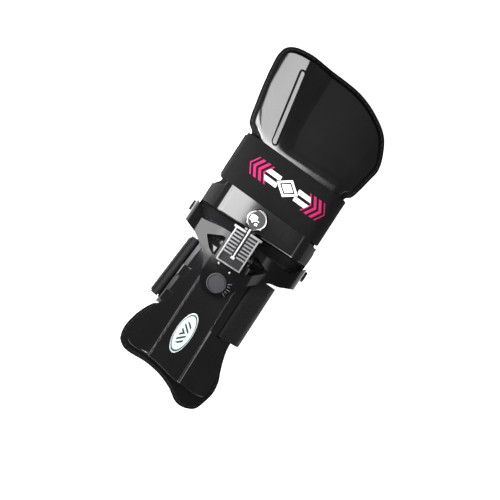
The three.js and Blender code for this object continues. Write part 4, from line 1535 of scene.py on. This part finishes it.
@dataclass
class HandStrap:
    """Printed band over the hand plate and round under its pad."""

    surface: HandSurface
    wall: float = 2 * MM
    clearance: float = 0.35 * MM
    width: float = 38 * MM
    middle_y: float = 39.7 * MM
    out: float = 87.6 * MM
    middle_x: float = 2.433 * MM
    lean: float = 0.05
    left_bend: float = -0.554
    right_bend: float = 0.69

    def line(self) -> Points:
        """The middle of the band's wall in x z, from below round by the left side.

        Returns:
            The line's points.
        """
        half = self.out / 2 - self.wall
        top = self.surface.top + self.clearance
        slope, gap = self.surface.flange_slope, 0.1 * self.surface.flange_radius
        left, right = self.left_bend * self.surface.half, self.right_bend * self.surface.half
        low_x, high_x = self.middle_x - half, self.middle_x + half

        def shoulder(bend: float, edge: float) -> float:
            """Height at which the band leaves the flange that falls from a bend."""
            return top - (abs(edge - bend) - 0.4 * self.wall) * slope

        tall = self.surface.top
        inner = [
            (self.middle_x, self.wall),
            (low_x + 0.3 * half, self.wall),
            (low_x + 0.08 * half, 0.16 * tall),
            (low_x, 0.4 * tall),
            (low_x, shoulder(left, low_x)),
            (left - gap, top + 0.25 * MM),
            (right + gap, top + 0.25 * MM),
            (high_x, shoulder(right, high_x)),
            (high_x, 0.4 * tall),
            (high_x - 0.08 * half, 0.16 * tall),
            (high_x - 0.3 * half, self.wall),
            (self.middle_x, self.wall),
        ]
        return sideways(even(rounded(inner, 5 * MM), 240), self.wall / 2)

    def build(self, printed: bpy.types.Material, webbing: bpy.types.Material) -> None:
        """Builds and dresses the band.

        Args:
            printed: finish of the band.
            webbing: finish of its fastening end.
        """
        line = self.line()
        band = swept_band("hand_strap_band", line, self.middle_y, self.width, self.wall * 0.88, self.shift)
        dress(band, printed, "hand", ["hand_strap"])
        start, end = 18, 62
        end_line = sideways(line[start:end], 0.75 * self.wall)
        narrow, thin = 0.9 * self.width, 0.5 * self.wall
        tail = swept_band("hand_strap_tail", end_line, self.middle_y, narrow, thin, self.shift)
        dress(tail, webbing, "hand")

    def shift(self, places: Points) -> Points:
        """Slants the band back towards the right.

        Args:
            places: the band's places.

        Returns:
            The slanted places.
        """
        moved = places.copy()
        moved[:, 1] -= (places[:, 0] - self.middle_x) * self.lean
        return moved


def swept_band(
    name: str,
    line: Points,
    middle_y: float,
    width: float,
    wall: float,
    shift: Callable[[Points], Points],
) -> bpy.types.Object:
    """Band of webbing along a line in x z, with thin bound edges.

    Args:
        name: the piece's name.
        line: the middle of its wall.
        middle_y: the middle of its width.
        width: its width along Y.
        wall: its thickness.
        shift: moves the finished places.

    Returns:
        The new object.
    """
    cells = 10
    closed = bool(np.linalg.norm(line[0] - line[-1]) < 1e-6)

    def where(u: Points, v: Points) -> Points:
        """Places on the band, by its shares along the line and over its width.

        Args:
            u: shares along the line.
            v: shares over the width.

        Returns:
            The places.
        """
        at = np.linspace(0, 1, len(line))
        x, z = (np.interp(u, at, column) for column in line.T)
        return shift(np.stack([x, middle_y + (v - 0.5) * width, z], 1))

    band = grid(name, len(line) - 1, cells, where)
    if closed:
        join_ends(band)
    finish_with(band, "SOLIDIFY", thickness=wall, offset=0.0)
    rim_of(band, 0.42 * wall, 3, 60)
    shade(band, 60)
    return band


# Forearm side


@dataclass
class ArmSurface:
    """The arched top of the forearm plate with its raised middle panel."""

    pad_box: tuple[Vector, Vector] = field(default_factory=lambda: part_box("forearm_pad"))
    top: float = 54 * MM
    rise: float = 1.5 * MM
    panel_width: float = 28 * MM
    panel_flare: float = 2.4 * MM
    radius: float = 46 * MM
    flare_radius: float = 60 * MM
    width: float = 80.6 * MM
    length: float = 117.7 * MM
    plate_length: float = 97 * MM
    plate_rear: float = -118.8 * MM

    def __post_init__(self) -> None:
        """Works out the middle and the rear tip from the frame."""
        low, high = self.pad_box
        self.middle = (high.x + low.x) / 2
        self.rear = low.y
        self.front = low.y + self.length

    def arch(self, x: Points, y: Points) -> Points:
        """Works out how high the arch beside the panel is.

        Args:
            x: places across.
            y: places along.

        Returns:
            Heights over the floor.
        """
        share = ease((y - self.rear) / self.length, 0.2, 0.44)
        radius = self.flare_radius + share * (self.radius - self.flare_radius)
        half = self.panel_width / 2
        out = np.maximum(np.abs(x - self.middle), half)
        sink = radius - np.sqrt(radius**2 - out**2)
        sink_half = radius - np.sqrt(radius**2 - half**2)
        return self.top - self.rise - sink + sink_half

    def height(self, x: Points, y: Points) -> Points:
        """Works out how high the plate's top is, its panel included.

        Args:
            x: places across.
            y: places along.

        Returns:
            Heights over the floor.
        """
        back = np.clip((self.front - y) / self.length, 0, 1)
        half = self.panel_width / 2 + np.where(x > self.middle, self.panel_flare, 0.4 * MM) * (back - 0.3)
        out = np.abs(x - self.middle)
        return self.arch(x, y) + self.rise * ease(half - out, -0.75 * MM, 0.75 * MM)

    def under(self, x: Points, y: Points, depth: float, panel: bool = True) -> Points:
        """Works out places under the surface.

        Args:
            x: places across.
            y: places along.
            depth: how far under, measured square to the surface.
            panel: whether the raised panel counts.

        Returns:
            The places.
        """
        shape = self.height if panel else self.arch
        tiny = 0.1 * MM
        slope = (self.arch(x + tiny, y) - self.arch(x - tiny, y)) / (2 * tiny)
        return np.stack([x, y, shape(x, y) - depth * np.sqrt(1 + slope**2)], 1)

    def pad_outline(self) -> Outline:
        """Outline of the forearm pad, from above.

        Returns:
            The outline.
        """
        left = [
            (-0.935, 0.138), (-0.985, 0.18), (-1, 0.23), (-0.97, 0.291), (-0.918, 0.352),
            (-0.8, 0.43), (-0.672, 0.474), (-0.62, 0.731), (-0.57, 0.927), (-0.555, 1),
        ]
        rear = [
            (-0.935, 0.138), (-0.76, 0.107), (-0.345, 0.113), (-0.11, 0.104), (0.065, 0.089),
            (0.245, 0.064), (0.37, 0.04), (0.51, 0.009), (0.62, 0), (0.76, 0.008), (0.885, 0.034),
        ]
        right = [
            (0.885, 0.034), (0.96, 0.101), (1, 0.168), (0.975, 0.242), (0.905, 0.303),
            (0.83, 0.376), (0.78, 0.456), (0.74, 0.731), (0.67, 0.927), (0.6, 1),
        ]
        return self.placed(left, right, rear, self.rear, self.length)

    def plate_outline(self) -> Outline:
        """Outline of the forearm plate, from above.

        Returns:
            The outline.
        """
        left = [
            (-0.8, 0.06), (-0.875, 0.13), (-0.86, 0.2), (-0.78, 0.33), (-0.7, 0.42), (-0.6, 0.93),
            (-0.53, 1),
        ]
        rear = [
            (-0.8, 0.06), (-0.68, 0.045), (-0.36, 0.05), (-0.11, 0.04), (0.16, 0.015), (0.4, 0),
            (0.86, 0),
        ]
        right = [(0.86, 0), (0.91, 0.07), (0.875, 0.2), (0.8, 0.3), (0.74, 0.42), (0.74, 0.93), (0.55, 1)]
        return self.placed(left, right, rear, self.plate_rear, self.plate_length)

    def placed(
        self,
        left: list[tuple[float, float]],
        right: list[tuple[float, float]],
        rear: list[tuple[float, float]],
        start: float,
        length: float,
    ) -> Outline:
        """Puts the shares of an outline's sides in place.

        Args:
            left: left side, from rear to front.
            right: right side, from rear to front.
            rear: rear edge, from left to right.
            start: where share 0 lies along the arm.
            length: what share 1 is long.

        Returns:
            The outline.
        """

        def real(shares: list[tuple[float, float]]) -> list[tuple[float, float]]:
            """Puts the shares of one side in place."""
            return [(self.middle + a * self.width / 2, start + b * length) for a, b in shares]

        left_line, rear_line, right_line = chained([real(left[::-1]), real(rear), real(right)])
        front_line = even(np.vstack([left_line[:1], right_line[-1:]]), 130)
        return Outline(left_line[::-1], right_line, rear_line, front_line)


@dataclass
class ForearmShell:
    """Forearm plate, padding, badge, strap bar and the loops that hold it."""

    surface: ArmSurface
    wall: float = 1.6 * MM
    clearance: float = 0.35 * MM
    pad_wall: float = 3.2 * MM
    slot_x: float = 21.733 * MM
    slot_width: float = 3.2 * MM
    slot_length: float = 52.4 * MM
    slot_y: float = -49.8 * MM
    loop_width: float = 9 * MM
    loop_places: tuple[float, float] = (-0.05, 0.36)
    axis_y: float = -5.6 * MM
    lip: float = 2 * MM
    flap_wall: float = 2 * MM
    flap_top: float = 37.475 * MM
    flap_overlap: float = 0.8 * MM
    flap_bend: float = 18 * MM
    flap_fall: float = 19 * MM
    loop_front: float = 5.5 * MM
    loop_length: float = 7.8 * MM
    loop_lift: float = 0.55 * MM
    loop_drop: float = 2.6 * MM
    bar_width: float = 3.4 * MM

    @property
    def pad_depth(self) -> float:
        """How deep under the plate's top the padding's top lies."""
        return self.wall + 1.5 * self.clearance

    def build_plate(self) -> bpy.types.Object:
        """Makes the formed plate with its panel and its strap slot.

        Returns:
            The new object.
        """
        outline = self.surface.plate_outline()

        def where(u: Points, v: Points) -> Points:
            """Places on the plate's top, its rear lip rolled down.

            Args:
                u: shares across.
                v: shares along.

            Returns:
                The places.
            """
            x, y = outline.spread(u, v)
            made = self.surface.under(x, y, 0.0)
            made[:, 2] -= self.lip / 2 * np.clip(1 - v * self.surface.plate_length / self.lip, 0, 1) ** 2
            return made

        plate = grid("forearm_plate_enamelled", 132, 170, where)
        finish_with(plate, "SOLIDIFY", thickness=self.wall, offset=-1.0)
        only(None)
        bpy.ops.mesh.primitive_cube_add(size=1, location=(self.slot_x, self.slot_y, self.surface.top))
        cutter = bpy.context.active_object
        cutter.scale = (self.slot_width, self.slot_length, 40 * MM)
        at_origin(cutter)
        finish_with(plate, "BOOLEAN", object=cutter, operation="DIFFERENCE", solver="EXACT")
        bpy.data.objects.remove(cutter)
        rim_of(plate, 0.4 * MM, 3)
        shade(plate)
        return plate

    def build_pad(self) -> bpy.types.Object:
        """Makes the padding under the plate.

        Returns:
            The new object.
        """
        outline = self.surface.pad_outline()

        def where(u: Points, v: Points) -> Points:
            """Places on the padding's top."""
            x, y = outline.spread(u, v)
            return self.surface.under(x, y, self.pad_depth, panel=False)

        pad = grid("forearm_pad_foam", 84, 104, where)
        finish_with(pad, "SOLIDIFY", thickness=self.pad_wall, offset=-1.0)
        rim_of(pad, PAD_ROUNDING, 4)
        shade(pad, 60)
        return pad

    def build_flap(self) -> bpy.types.Object:
        """Makes the padding's thin flap, which goes on to the front and under the hand pad.

        Returns:
            The new object.
        """
        surface = self.surface
        depth = self.pad_depth + self.pad_wall - self.flap_overlap
        half = surface.width / 2

        def edge(side: int) -> Points:
            """One side of the flap, from rear to front.

            Args:
                side: -1 for the left, 1 for the right.

            Returns:
                The side's points.
            """
            shares = [(0.62, 24), (0.66, 9.5), (0.6, 4.5), (0.52, 0.3)]
            corners = [(surface.middle + side * a * half, self.axis_y - b * MM) for a, b in shares]
            return smooth_line(corners, 60)

        left, right = edge(-1), edge(1)
        rear, front = (even(np.vstack([left[i], right[i]]), 60) for i in (0, -1))
        outline = Outline(left, right, rear, front)

        def where(u: Points, v: Points) -> Points:
            """Places on the flap, which falls in a straight ramp from the pad to the wrist.

            Args:
                u: shares across.
                v: shares along.

            Returns:
                The places.
            """
            x, y = outline.spread(u, v)
            made = surface.under(x, y, depth, panel=False)
            behind = self.axis_y - y
            low = np.minimum(made[:, 2], self.flap_top)
            share = np.clip((self.flap_bend - behind) / self.flap_fall, 0, 1)
            made[:, 2] += share * (low - made[:, 2])
            return made

        flap = grid("forearm_pad_flap", 60, 34, where)
        finish_with(flap, "SOLIDIFY", thickness=self.flap_wall, offset=-1.0)
        rim_of(flap, 0.8 * MM, 3)
        shade(flap, 60)
        return flap

    def build_binding(self) -> bpy.types.Object:
        """Makes the ribbed tape round the padding's edge.

        Returns:
            The new object.
        """
        depth = self.pad_depth + self.pad_wall / 2
        return edge_tape(
            "forearm_pad_binding",
            self.surface.pad_outline().loop(),
            lambda x, y: self.surface.under(x, y, depth, panel=False),
            half_height=self.pad_wall / 2 + TAPE_LIFT,
            reach=TAPE_REACH,
        )

    def build_stitches(self) -> bpy.types.Object:
        """Makes the row of stitches through the tape.

        Returns:
            The new object.
        """
        line = self.surface.pad_outline().inset(STITCH_INSET).loop()
        return stitch_row(
            "forearm_pad_stitches", line, lambda x, y: self.surface.under(x, y, self.pad_depth, panel=False)
        )

    def build_badge(self) -> bpy.types.Object:
        """Makes the domed oval badge on the panel.

        Returns:
            The new object.
        """
        low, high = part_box("badge")
        half_x, half_y = (high.x - low.x) / 2, (high.y - low.y) / 2
        rise = high.z - self.surface.top
        badge = round_piece(
            "badge_domed",
            [(1.0, 0.0), (1.0, 0.45), (0.97, 0.62), (0.9, 0.74), (0.75, 0.86), (0.5, 0.95), (0.2, 1.0)],
            72,
        )
        centre = ((low.x + high.x) / 2, (low.y + high.y) / 2)
        size, base = np.array([half_x, half_y, rise]), np.array([*centre, self.surface.top + 0.02 * MM])
        move_points(badge, lambda p: p * size + base)
        shade(badge, 55)
        return badge

    def build_loop(self, name: str, share: float) -> bpy.types.Object:
        """Makes one metal loop of the plate that folds over the strap bar.

        Args:
            name: the piece's name.
            share: its place, from the bar's middle to the rear, as a share of the bar's length.

        Returns:
            The new object.
        """
        low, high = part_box("strap_bar")
        length = high.y - low.y
        y_middle = (low.y + high.y) / 2 - share * length
        lean = (high.x - low.x - self.bar_width) / length
        x_bar = (low.x + high.x) / 2 + (y_middle - (low.y + high.y) / 2) * lean

        def where(u: Points, v: Points) -> Points:
            """Places on the loop, which lies on the plate and bends down past the bar.

            Args:
                u: shares across, from the plate to the loop's end.
                v: shares along.

            Returns:
                The places.
            """
            y = y_middle + (v - 0.5) * self.loop_width
            x = x_bar + self.loop_front - u * self.loop_length + (y - y_middle) * lean
            made = self.surface.under(x, y, -self.loop_lift, panel=False)
            made[:, 2] -= self.loop_drop * ease(u, 0.72, 1.05)
            return made

        loop = grid(name, 22, 10, where)
        only(loop)
        bpy.ops.object.mode_set(mode="EDIT")
        bpy.ops.mesh.select_all(action="SELECT")
        bpy.ops.mesh.flip_normals()
        bpy.ops.object.mode_set(mode="OBJECT")
        finish_with(loop, "SOLIDIFY", thickness=0.9 * MM, offset=-0.4)
        rim_of(loop, 0.3 * MM, 3)
        shade(loop)
        return loop

    def build(self, finishes: Finishes) -> None:
        """Builds and dresses the shell.

        Args:
            finishes: the materials.
        """
        dress(self.build_plate(), finishes.enamel, "forearm", ["forearm_plate"])
        pad = dress(self.build_pad(), finishes.knit, "forearm", ["forearm_pad"])
        dress(self.build_binding(), finishes.tape, "forearm")
        dress(self.build_stitches(), finishes.thread, "forearm")
        dress(self.build_flap(), finishes.knit, "forearm")
        dress(self.build_badge(), finishes.badge, "forearm", ["badge"])
        for name, share in zip(("bar_loop_front", "bar_loop_rear"), self.loop_places):
            dress(self.build_loop(name, share), finishes.enamel, "forearm")
        bar = from_frame("strap_bar_bent", "strap_bar", 0.35 * MM)
        shade(bar)
        dress(bar, finishes.steel_y, "forearm", ["strap_bar"])


@dataclass
class ForearmStrap:
    """Webbing out of the slot, round under the forearm and up to the strap bar."""

    surface: ArmSurface
    wall: float = 2 * MM
    clearance: float = 0.35 * MM
    width: float = 50 * MM
    middle_y: float = -49.8 * MM
    out: float = 75 * MM
    slot_x: float = 21.733 * MM
    bar_x: float = -27.367 * MM
    bar_width: float = 3.4 * MM
    bar_lean: float = 0.078

    def line(self) -> Points:
        """The middle of the strap's wall in x z, from the bar round below to the slot.

        Returns:
            The line's points.
        """
        surface = self.surface
        tall = surface.top
        half = self.out / 2 - self.wall / 2
        middle = surface.middle + 0.4 * MM
        lift = self.wall / 2 + self.clearance

        def arch(x: float) -> float:
            """Height of the arch over the middle of the strap."""
            return float(surface.arch(np.array([x]), np.array([self.middle_y]))[0])

        def side(share: float, height: float) -> tuple[float, float]:
            """A corner of the line, by shares of the half width and of the height."""
            return middle + share * half, height * tall

        bar_end = self.bar_x - self.bar_width / 2 - self.wall
        points = [
            (bar_end, arch(bar_end) - 0.96 * MM),
            side(-0.9, 0.735),
            side(-0.985, 0.6),
            side(-1, 0.4),
            side(-0.93, 0.2),
            side(-0.72, 0.06),
            (middle - 0.5 * half, self.wall / 2),
            (middle + 0.5 * half, self.wall / 2),
            side(0.72, 0.06),
            side(0.93, 0.2),
            side(1, 0.4),
            side(0.985, 0.6),
            side(0.935, 0.77),
            (self.slot_x + 8 * MM, arch(self.slot_x + 8 * MM) + 1.35 * lift),
            (self.slot_x + 3.4 * MM, arch(self.slot_x + 3.4 * MM) + 1.35 * lift),
            (self.slot_x + 0.5 * MM, arch(self.slot_x) + lift),
            (self.slot_x - 0.1 * MM, arch(self.slot_x) - 1.25 * MM),
        ]
        return even(rounded(points, 3 * MM), 230)

    def lean(self, places: Points) -> Points:
        """Leans the strap's end with the bar.

        Args:
            places: the strap's places.

        Returns:
            The leaning places.
        """
        moved = places.copy()
        start = self.surface.middle + 0.4 * MM - 0.25 * self.out
        share = np.clip((start - places[:, 0]) / (8 * MM), 0, 1)
        moved[:, 0] += share * (places[:, 1] - self.middle_y) * self.bar_lean
        return moved

    def build(self, webbing: bpy.types.Material) -> None:
        """Builds and dresses the strap and its fastening end.

        Args:
            webbing: finish of both.
        """
        line = self.line()
        strap = swept_band("forearm_strap_web", line, self.middle_y, self.width, 0.88 * self.wall, self.lean)
        dress(strap, webbing, "forearm", ["forearm_strap"])
        tail_line = sideways(line[10:74], -0.75 * self.wall)
        tail = swept_band(
            "forearm_strap_tail", tail_line, self.middle_y, 0.94 * self.width, 0.5 * self.wall, self.lean
        )
        dress(tail, webbing, "forearm")


# Wrist


@dataclass
class WristYoke:
    """Yoke with its scale marks, rivets, hinge screws and pivot cap."""

    edge: float = 0.35 * MM
    cap_height: float = 3 * MM
    cap_gap: float = 0.35 * MM

    def build_screw(self, name: str, node: str) -> bpy.types.Object:
        """Makes a hinge screw with a knurled head.

        Args:
            name: the new piece's name.
            node: the CAD screw.

        Returns:
            The new object.
        """
        low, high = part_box(node)
        out = -1.0 if low.x < 0 else 1.0
        radius = (high.y - low.y) / 2
        long = high.x - low.x
        head, nut = 1.9 * MM, 1.2 * MM
        shank = 1.8 * MM
        profile = [
            (0.75 * radius, 0.0), (0.75 * radius, nut), (shank, nut), (shank, long - head),
            (0.93 * radius, long - head), (radius, long - 0.85 * head), (radius, long - 0.25 * head),
            (0.9 * radius, long), (0.45 * radius, long), (0.4 * radius, long - 0.4 * head),
        ]
        screw = round_piece(name, profile, 48)
        centre = np.array([low.x if out > 0 else high.x, (low.y + high.y) / 2, (low.z + high.z) / 2])

        def laid(p: Points) -> Points:
            """Lays the upright screw across and cuts the knurl in its head.

            Args:
                p: the screw's places.

            Returns:
                The new places.
            """
            turn = np.arctan2(p[:, 1], p[:, 0])
            wide = np.hypot(p[:, 0], p[:, 1])
            knurl = np.where((wide > 0.97 * radius), 1 - 0.06 * (np.cos(24 * turn) > 0), 1.0)
            return centre + np.stack([out * p[:, 2], p[:, 1] * knurl, p[:, 0] * knurl], 1)

        move_points(screw, laid)
        outwards(screw)
        shade(screw, 30)
        return screw

    def build_cap(self) -> bpy.types.Object:
        """Makes the pivot cap: a turned disc with a raised rim over its shank.

        Returns:
            The new object.
        """
        low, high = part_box("pivot_cap")
        radius = (high.x - low.x) / 2
        cap_height = self.cap_height
        head = high.z - low.z - cap_height
        shank = 3 * MM
        profile = [
            (shank, 0.0), (shank, head), (0.97 * radius, head), (radius, head + 0.04 * radius),
            (radius, head + 0.72 * cap_height), (0.97 * radius, head + 0.9 * cap_height),
            (0.92 * radius, head + cap_height), (0.86 * radius, head + cap_height),
            (0.82 * radius, head + 0.93 * cap_height), (0.79 * radius, head + 0.82 * cap_height),
            (0.5 * radius, head + 0.82 * cap_height), (0.15 * radius, head + 0.83 * cap_height),
        ]
        cap = round_piece("pivot_cap_turned", profile, 72)
        base = np.array([(low.x + high.x) / 2, (low.y + high.y) / 2, low.z])
        move_points(cap, lambda p: p + base)
        shade(cap, 35)
        return cap

    def build_marks(self) -> bpy.types.Object:
        """Makes the raised scale marks to the right of the pivot cap.

        Returns:
            The new object.
        """
        low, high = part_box("pivot_cap")
        middle = np.array([(low.x + high.x) / 2, (low.y + high.y) / 2])
        radius = (high.x - low.x) / 2
        top = high.z - self.cap_height - self.cap_gap
        only(None)
        bpy.ops.mesh.primitive_cube_add(size=1)
        mark = bpy.context.active_object
        rim_of(mark, 0.12, 2)

        def laid(turn: float, long: float) -> Callable[[Points], Points]:
            """Makes the move that lays one mark beside the cap.

            Args:
                turn: where it is round the cap, in radians.
                long: its length.

            Returns:
                A function that moves its points.
            """
            way = np.array([math.cos(turn), math.sin(turn)])
            side = np.array([-way[1], way[0]])

            def place(p: Points) -> Points:
                """Puts a unit cube's places where the mark is.

                Args:
                    p: the cube's places.

                Returns:
                    The new places.
                """
                flat = middle + np.outer(radius + 0.9 * MM + (p[:, 0] + 0.5) * long, way)
                flat += np.outer(p[:, 1] * 0.5 * MM, side)
                return np.column_stack([flat, top + p[:, 2] * 0.5 * MM])

            return place

        turns = [math.radians(a) for a in (26, 13, 0, -13, -26)]
        longs = [3.2 * MM, 2.2 * MM, 3.4 * MM, 2.2 * MM, 3.2 * MM]
        row = copies(mark, "yoke_scale_marks", [laid(t, l) for t, l in zip(turns, longs)])
        shade(row, 30)
        return row

    def build_rivet(self, name: str, x: float, y: float, top: float) -> bpy.types.Object:
        """Makes a small domed rivet on the yoke.

        Args:
            name: the piece's name.
            x: its place across.
            y: its place along.
            top: the yoke's top face.

        Returns:
            The new object.
        """
        profile = [(1.0, 0.0), (1.0, 0.15), (0.92, 0.42), (0.7, 0.62), (0.4, 0.74), (0.12, 0.78)]
        rivet = round_piece(name, [(r * MM, h * MM) for r, h in profile], 24)
        move_points(rivet, lambda p: p + np.array([x, y, top - 0.02 * MM]))
        shade(rivet, 60)
        return rivet

    def build(self, finishes: Finishes) -> None:
        """Builds and dresses the yoke and what is on it.

        Args:
            finishes: the materials.
        """
        yoke = from_frame("yoke_formed", "yoke", self.edge)
        shade(yoke)
        dress(yoke, finishes.satin, "yoke", ["yoke"])
        for node in ("ear_screw_left", "ear_screw_right"):
            screw = self.build_screw(node + "_knurled", node)
            dress(screw, finishes.dark, "yoke", [node])
        cap = self.build_cap()
        dress(cap, finishes.cap, "forearm", ["pivot_cap"])
        dress(self.build_marks(), finishes.cap, "yoke")
        low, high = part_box("pivot_cap")
        middle, top = (low.x + high.x) / 2, high.z - self.cap_height - self.cap_gap
        rivets = (("yoke_rivet_left", -6.3 * MM, 13.1 * MM), ("yoke_rivet_right", 4.0 * MM, 11.2 * MM))
        for name, dx, dy in rivets:
            rivet = self.build_rivet(name, middle + dx, (low.y + high.y) / 2 + dy, top)
            dress(rivet, finishes.steel_x, "yoke")


@dataclass
class Ratchet:
    """Toothed frame, lifting rod and ball knob."""

    edge: float = 0.18 * MM
    rod_edge: float = 0.2 * MM
    neck: float = 1.5 * MM
    ball_steps: int = 30

    def build_ball(self) -> bpy.types.Object:
        """Makes the ball knob with its neck and the groove between them.

        Returns:
            The new object.
        """
        low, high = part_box("ball_knob")
        radius = (high.x - low.x) / 2
        centre = np.array([(low.x + high.x) / 2, high.y - radius, (low.z + high.z) / 2])
        neck, steps = self.neck, self.ball_steps
        start = -(centre[1] - low.y)
        first = math.asin(neck * 1.25 / radius)
        groove = (neck * 1.1, -radius * math.cos(first) - 0.1 * MM)
        profile = [(neck, start), (neck, start + 0.9 * MM), groove]
        for i in range(steps + 1):
            turn = first + (math.pi - first - 0.06) * i / steps
            profile.append((radius * math.sin(turn), -radius * math.cos(turn)))
        ball = round_piece("ball_knob_chromed", profile, 72)
        move_points(ball, lambda p: centre + np.stack([p[:, 0], p[:, 2], -p[:, 1]], 1))
        outwards(ball)
        shade(ball, 35)
        return ball

    def build(self, finishes: Finishes) -> None:
        """Builds and dresses the ratchet.

        Args:
            finishes: the materials.
        """
        toothed = from_frame("ratchet_frame_cast", "ratchet_frame", self.edge)
        shade(toothed)
        dress(toothed, finishes.cast, "ladder", ["ratchet_frame"])
        rod = from_frame("lift_rod_turned", "lift_rod", self.rod_edge)
        shade(rod)
        dress(rod, finishes.steel_y, "rod", ["lift_rod"])
        dress(self.build_ball(), finishes.chrome, "rod", ["ball_knob"])


# Studio


@dataclass
class Finishes:
    """The materials, each made once."""

    enamel: bpy.types.Material
    satin: bpy.types.Material
    knit: bpy.types.Material
    tape: bpy.types.Material
    thread: bpy.types.Material
    printed: bpy.types.Material
    webbing: bpy.types.Material
    cast: bpy.types.Material
    steel_x: bpy.types.Material
    steel_y: bpy.types.Material
    chrome: bpy.types.Material
    dark: bpy.types.Material
    cap: bpy.types.Material
    badge: bpy.types.Material


def make_finishes() -> Finishes:
    """Makes every material, with the places of the cap and the badge from the frame.

    Returns:
        The materials.
    """

    def middle(node: str) -> tuple[tuple[float, float], tuple[float, float]]:
        """Looks up where a node is from above.

        Args:
            node: the CAD node.

        Returns:
            Its middle and its half size, in millimetres.
        """
        low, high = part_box(node)
        centre = ((low.x + high.x) / 2 / MM, (low.y + high.y) / 2 / MM)
        return centre, ((high.x - low.x) / 2 / MM, (high.y - low.y) / 2 / MM)

    cap_centre, cap_half = middle("pivot_cap")
    badge_centre, badge_half = middle("badge")
    return Finishes(
        enamel=Enamel("plate_enamel").material(),
        satin=Enamel("yoke_enamel", color=(0.0025, 0.0025, 0.003), haze=0.04, gloss=0.45).material(),
        knit=Knit("pad_knit").material(),
        tape=Binding("pad_binding").material(),
        thread=Thread("sewing_thread").material(),
        printed=PrintedBand("hand_band_print", centre=(5.0, 41.3), lean=0.05).material(),
        webbing=Webbing("strap_webbing").material(),
        cast=CastSteelPaintedLight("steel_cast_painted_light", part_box("ratchet_frame")[1].z / MM).material(),
        steel_x=Steel("steel_brushed_across", Along.X).material(),
        steel_y=Steel("steel_brushed_along", Along.Y, color=(0.4, 0.4, 0.41), roughness=0.36).material(),
        chrome=Chrome("chrome_plate", sum(corner.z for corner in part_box("ball_knob")) / 2 / MM).material(),
        dark=Steel("steel_blackened", Along.Z, color=(0.03, 0.03, 0.032), roughness=0.42).material(),
        cap=CapMetal("cap_turned", cap_centre, cap_half[0]).material(),
        badge=BadgeGloss("badge_gloss", badge_centre, badge_half).material(),
    )


@dataclass
class Studio:
    """Pale floor, soft lights and the camera, looking straight down."""

    aim: tuple[float, float] = (0.0065, -0.0104)
    plane: float = 0.05
    view_width: float = 0.36
    distance: float = 1.5
    turn: float = math.radians(33)
    sensor: float = 36.0
    floor_radius: float = 0.34
    floor_drop: float = 0.2 * MM
    sky: float = 0.16

    def build(self) -> None:
        """Builds the floor, the lights, the sky and the camera."""
        self.build_floor()
        self.build_camera()
        self.build_lights()
        world = bpy.data.worlds.new("studio")
        bpy.context.scene.world = world
        world.use_nodes = True
        backdrop = world.node_tree.nodes["Background"]
        backdrop.inputs["Color"].default_value = (1, 1, 1, 1)
        backdrop.inputs["Strength"].default_value = self.sky
        bpy.context.scene.view_settings.view_transform = "Standard"

    def build_floor(self) -> None:
        """Lays the floor under the brace."""
        only(None)
        bpy.ops.mesh.primitive_circle_add(vertices=96, radius=self.floor_radius, fill_type="NGON")
        floor = bpy.context.active_object
        floor.location = (*self.aim, -self.floor_drop)
        floor.name = "floor"
        at_origin(floor)
        floor.data.materials.append(Paper("floor_paper").material())

    def build_camera(self) -> None:
        """Hangs the camera over the brace, turned as the photo is."""
        camera = bpy.data.cameras.new("camera")
        camera.sensor_width = self.sensor
        camera.lens = self.sensor * (self.distance - self.plane) / self.view_width
        camera.clip_start, camera.clip_end = 0.05, 20
        holder = bpy.data.objects.new("camera", camera)
        bpy.context.scene.collection.objects.link(holder)
        holder.location = (*self.aim, self.distance)
        holder.rotation_euler = (0, 0, self.turn)
        bpy.context.scene.camera = holder

    def soft_light(
        self, name: str, place: Vector, target: Vector, size: tuple[float, float], power: float
    ) -> None:
        """Hangs a softbox.

        Args:
            name: its name.
            place: where its middle is.
            target: where it points.
            size: its width and height.
            power: in watts.
        """
        light = bpy.data.lights.new(name, "AREA")
        light.shape = "RECTANGLE"
        light.size, light.size_y = size
        light.energy = power
        holder = bpy.data.objects.new(name, light)
        bpy.context.scene.collection.objects.link(holder)
        holder.location = place
        holder.rotation_euler = (target - place).to_track_quat("-Z", "Y").to_euler()
        holder.visible_camera = False

    def build_lights(self) -> None:
        """Hangs the softboxes, each named for the faces or the piece that mirror it."""
        middle = Vector((0, 0, 0.04))
        panel, ball = Vector((-0.06, 0.19, 0)), Vector((-0.001, 0.019, 0.066))
        softboxes = (
            ("over_index", (-0.06, 0.19, 1.3), panel, (0.13, 0.2), 0.85),
            ("beside_ball", (-0.065, 0.019, 0.143), ball, (0.098, 0.14), 0.5),
            ("left_steps", (-0.42, -0.1, 1.3), middle, (0.26, 0.5), 1.3),
            ("right_steps", (0.42, -0.1, 1.3), middle, (0.26, 0.5), 0.8),
            ("rear_lips", (0.3, -1.0, 1.1), middle, (0.5, 0.5), 13.0),
            ("rear_left", (-0.75, -0.75, 1.1), middle, (0.25, 0.25), 4.0),
            ("cup", (-0.1, 0.68, 1.2), middle, (0.3, 0.34), 0.05),
        )
        for name, place, target, size, power in softboxes:
            self.soft_light(name, Vector(place), target, size, power)


def main() -> None:
    """Builds the whole brace and its studio."""
    finishes = make_finishes()
    Studio().build()
    hand = HandSurface()
    arm = ArmSurface()
    HandShell(hand).build(finishes)
    HandStrap(hand).build(finishes.printed, finishes.webbing)
    ForearmShell(arm).build(finishes)
    ForearmStrap(arm).build(finishes.webbing)
    WristYoke().build(finishes)
    Ratchet().build(finishes)


if __name__ == "__main__":
    logging.basicConfig(level=logging.INFO, format="%(name)s: %(message)s")
    main()
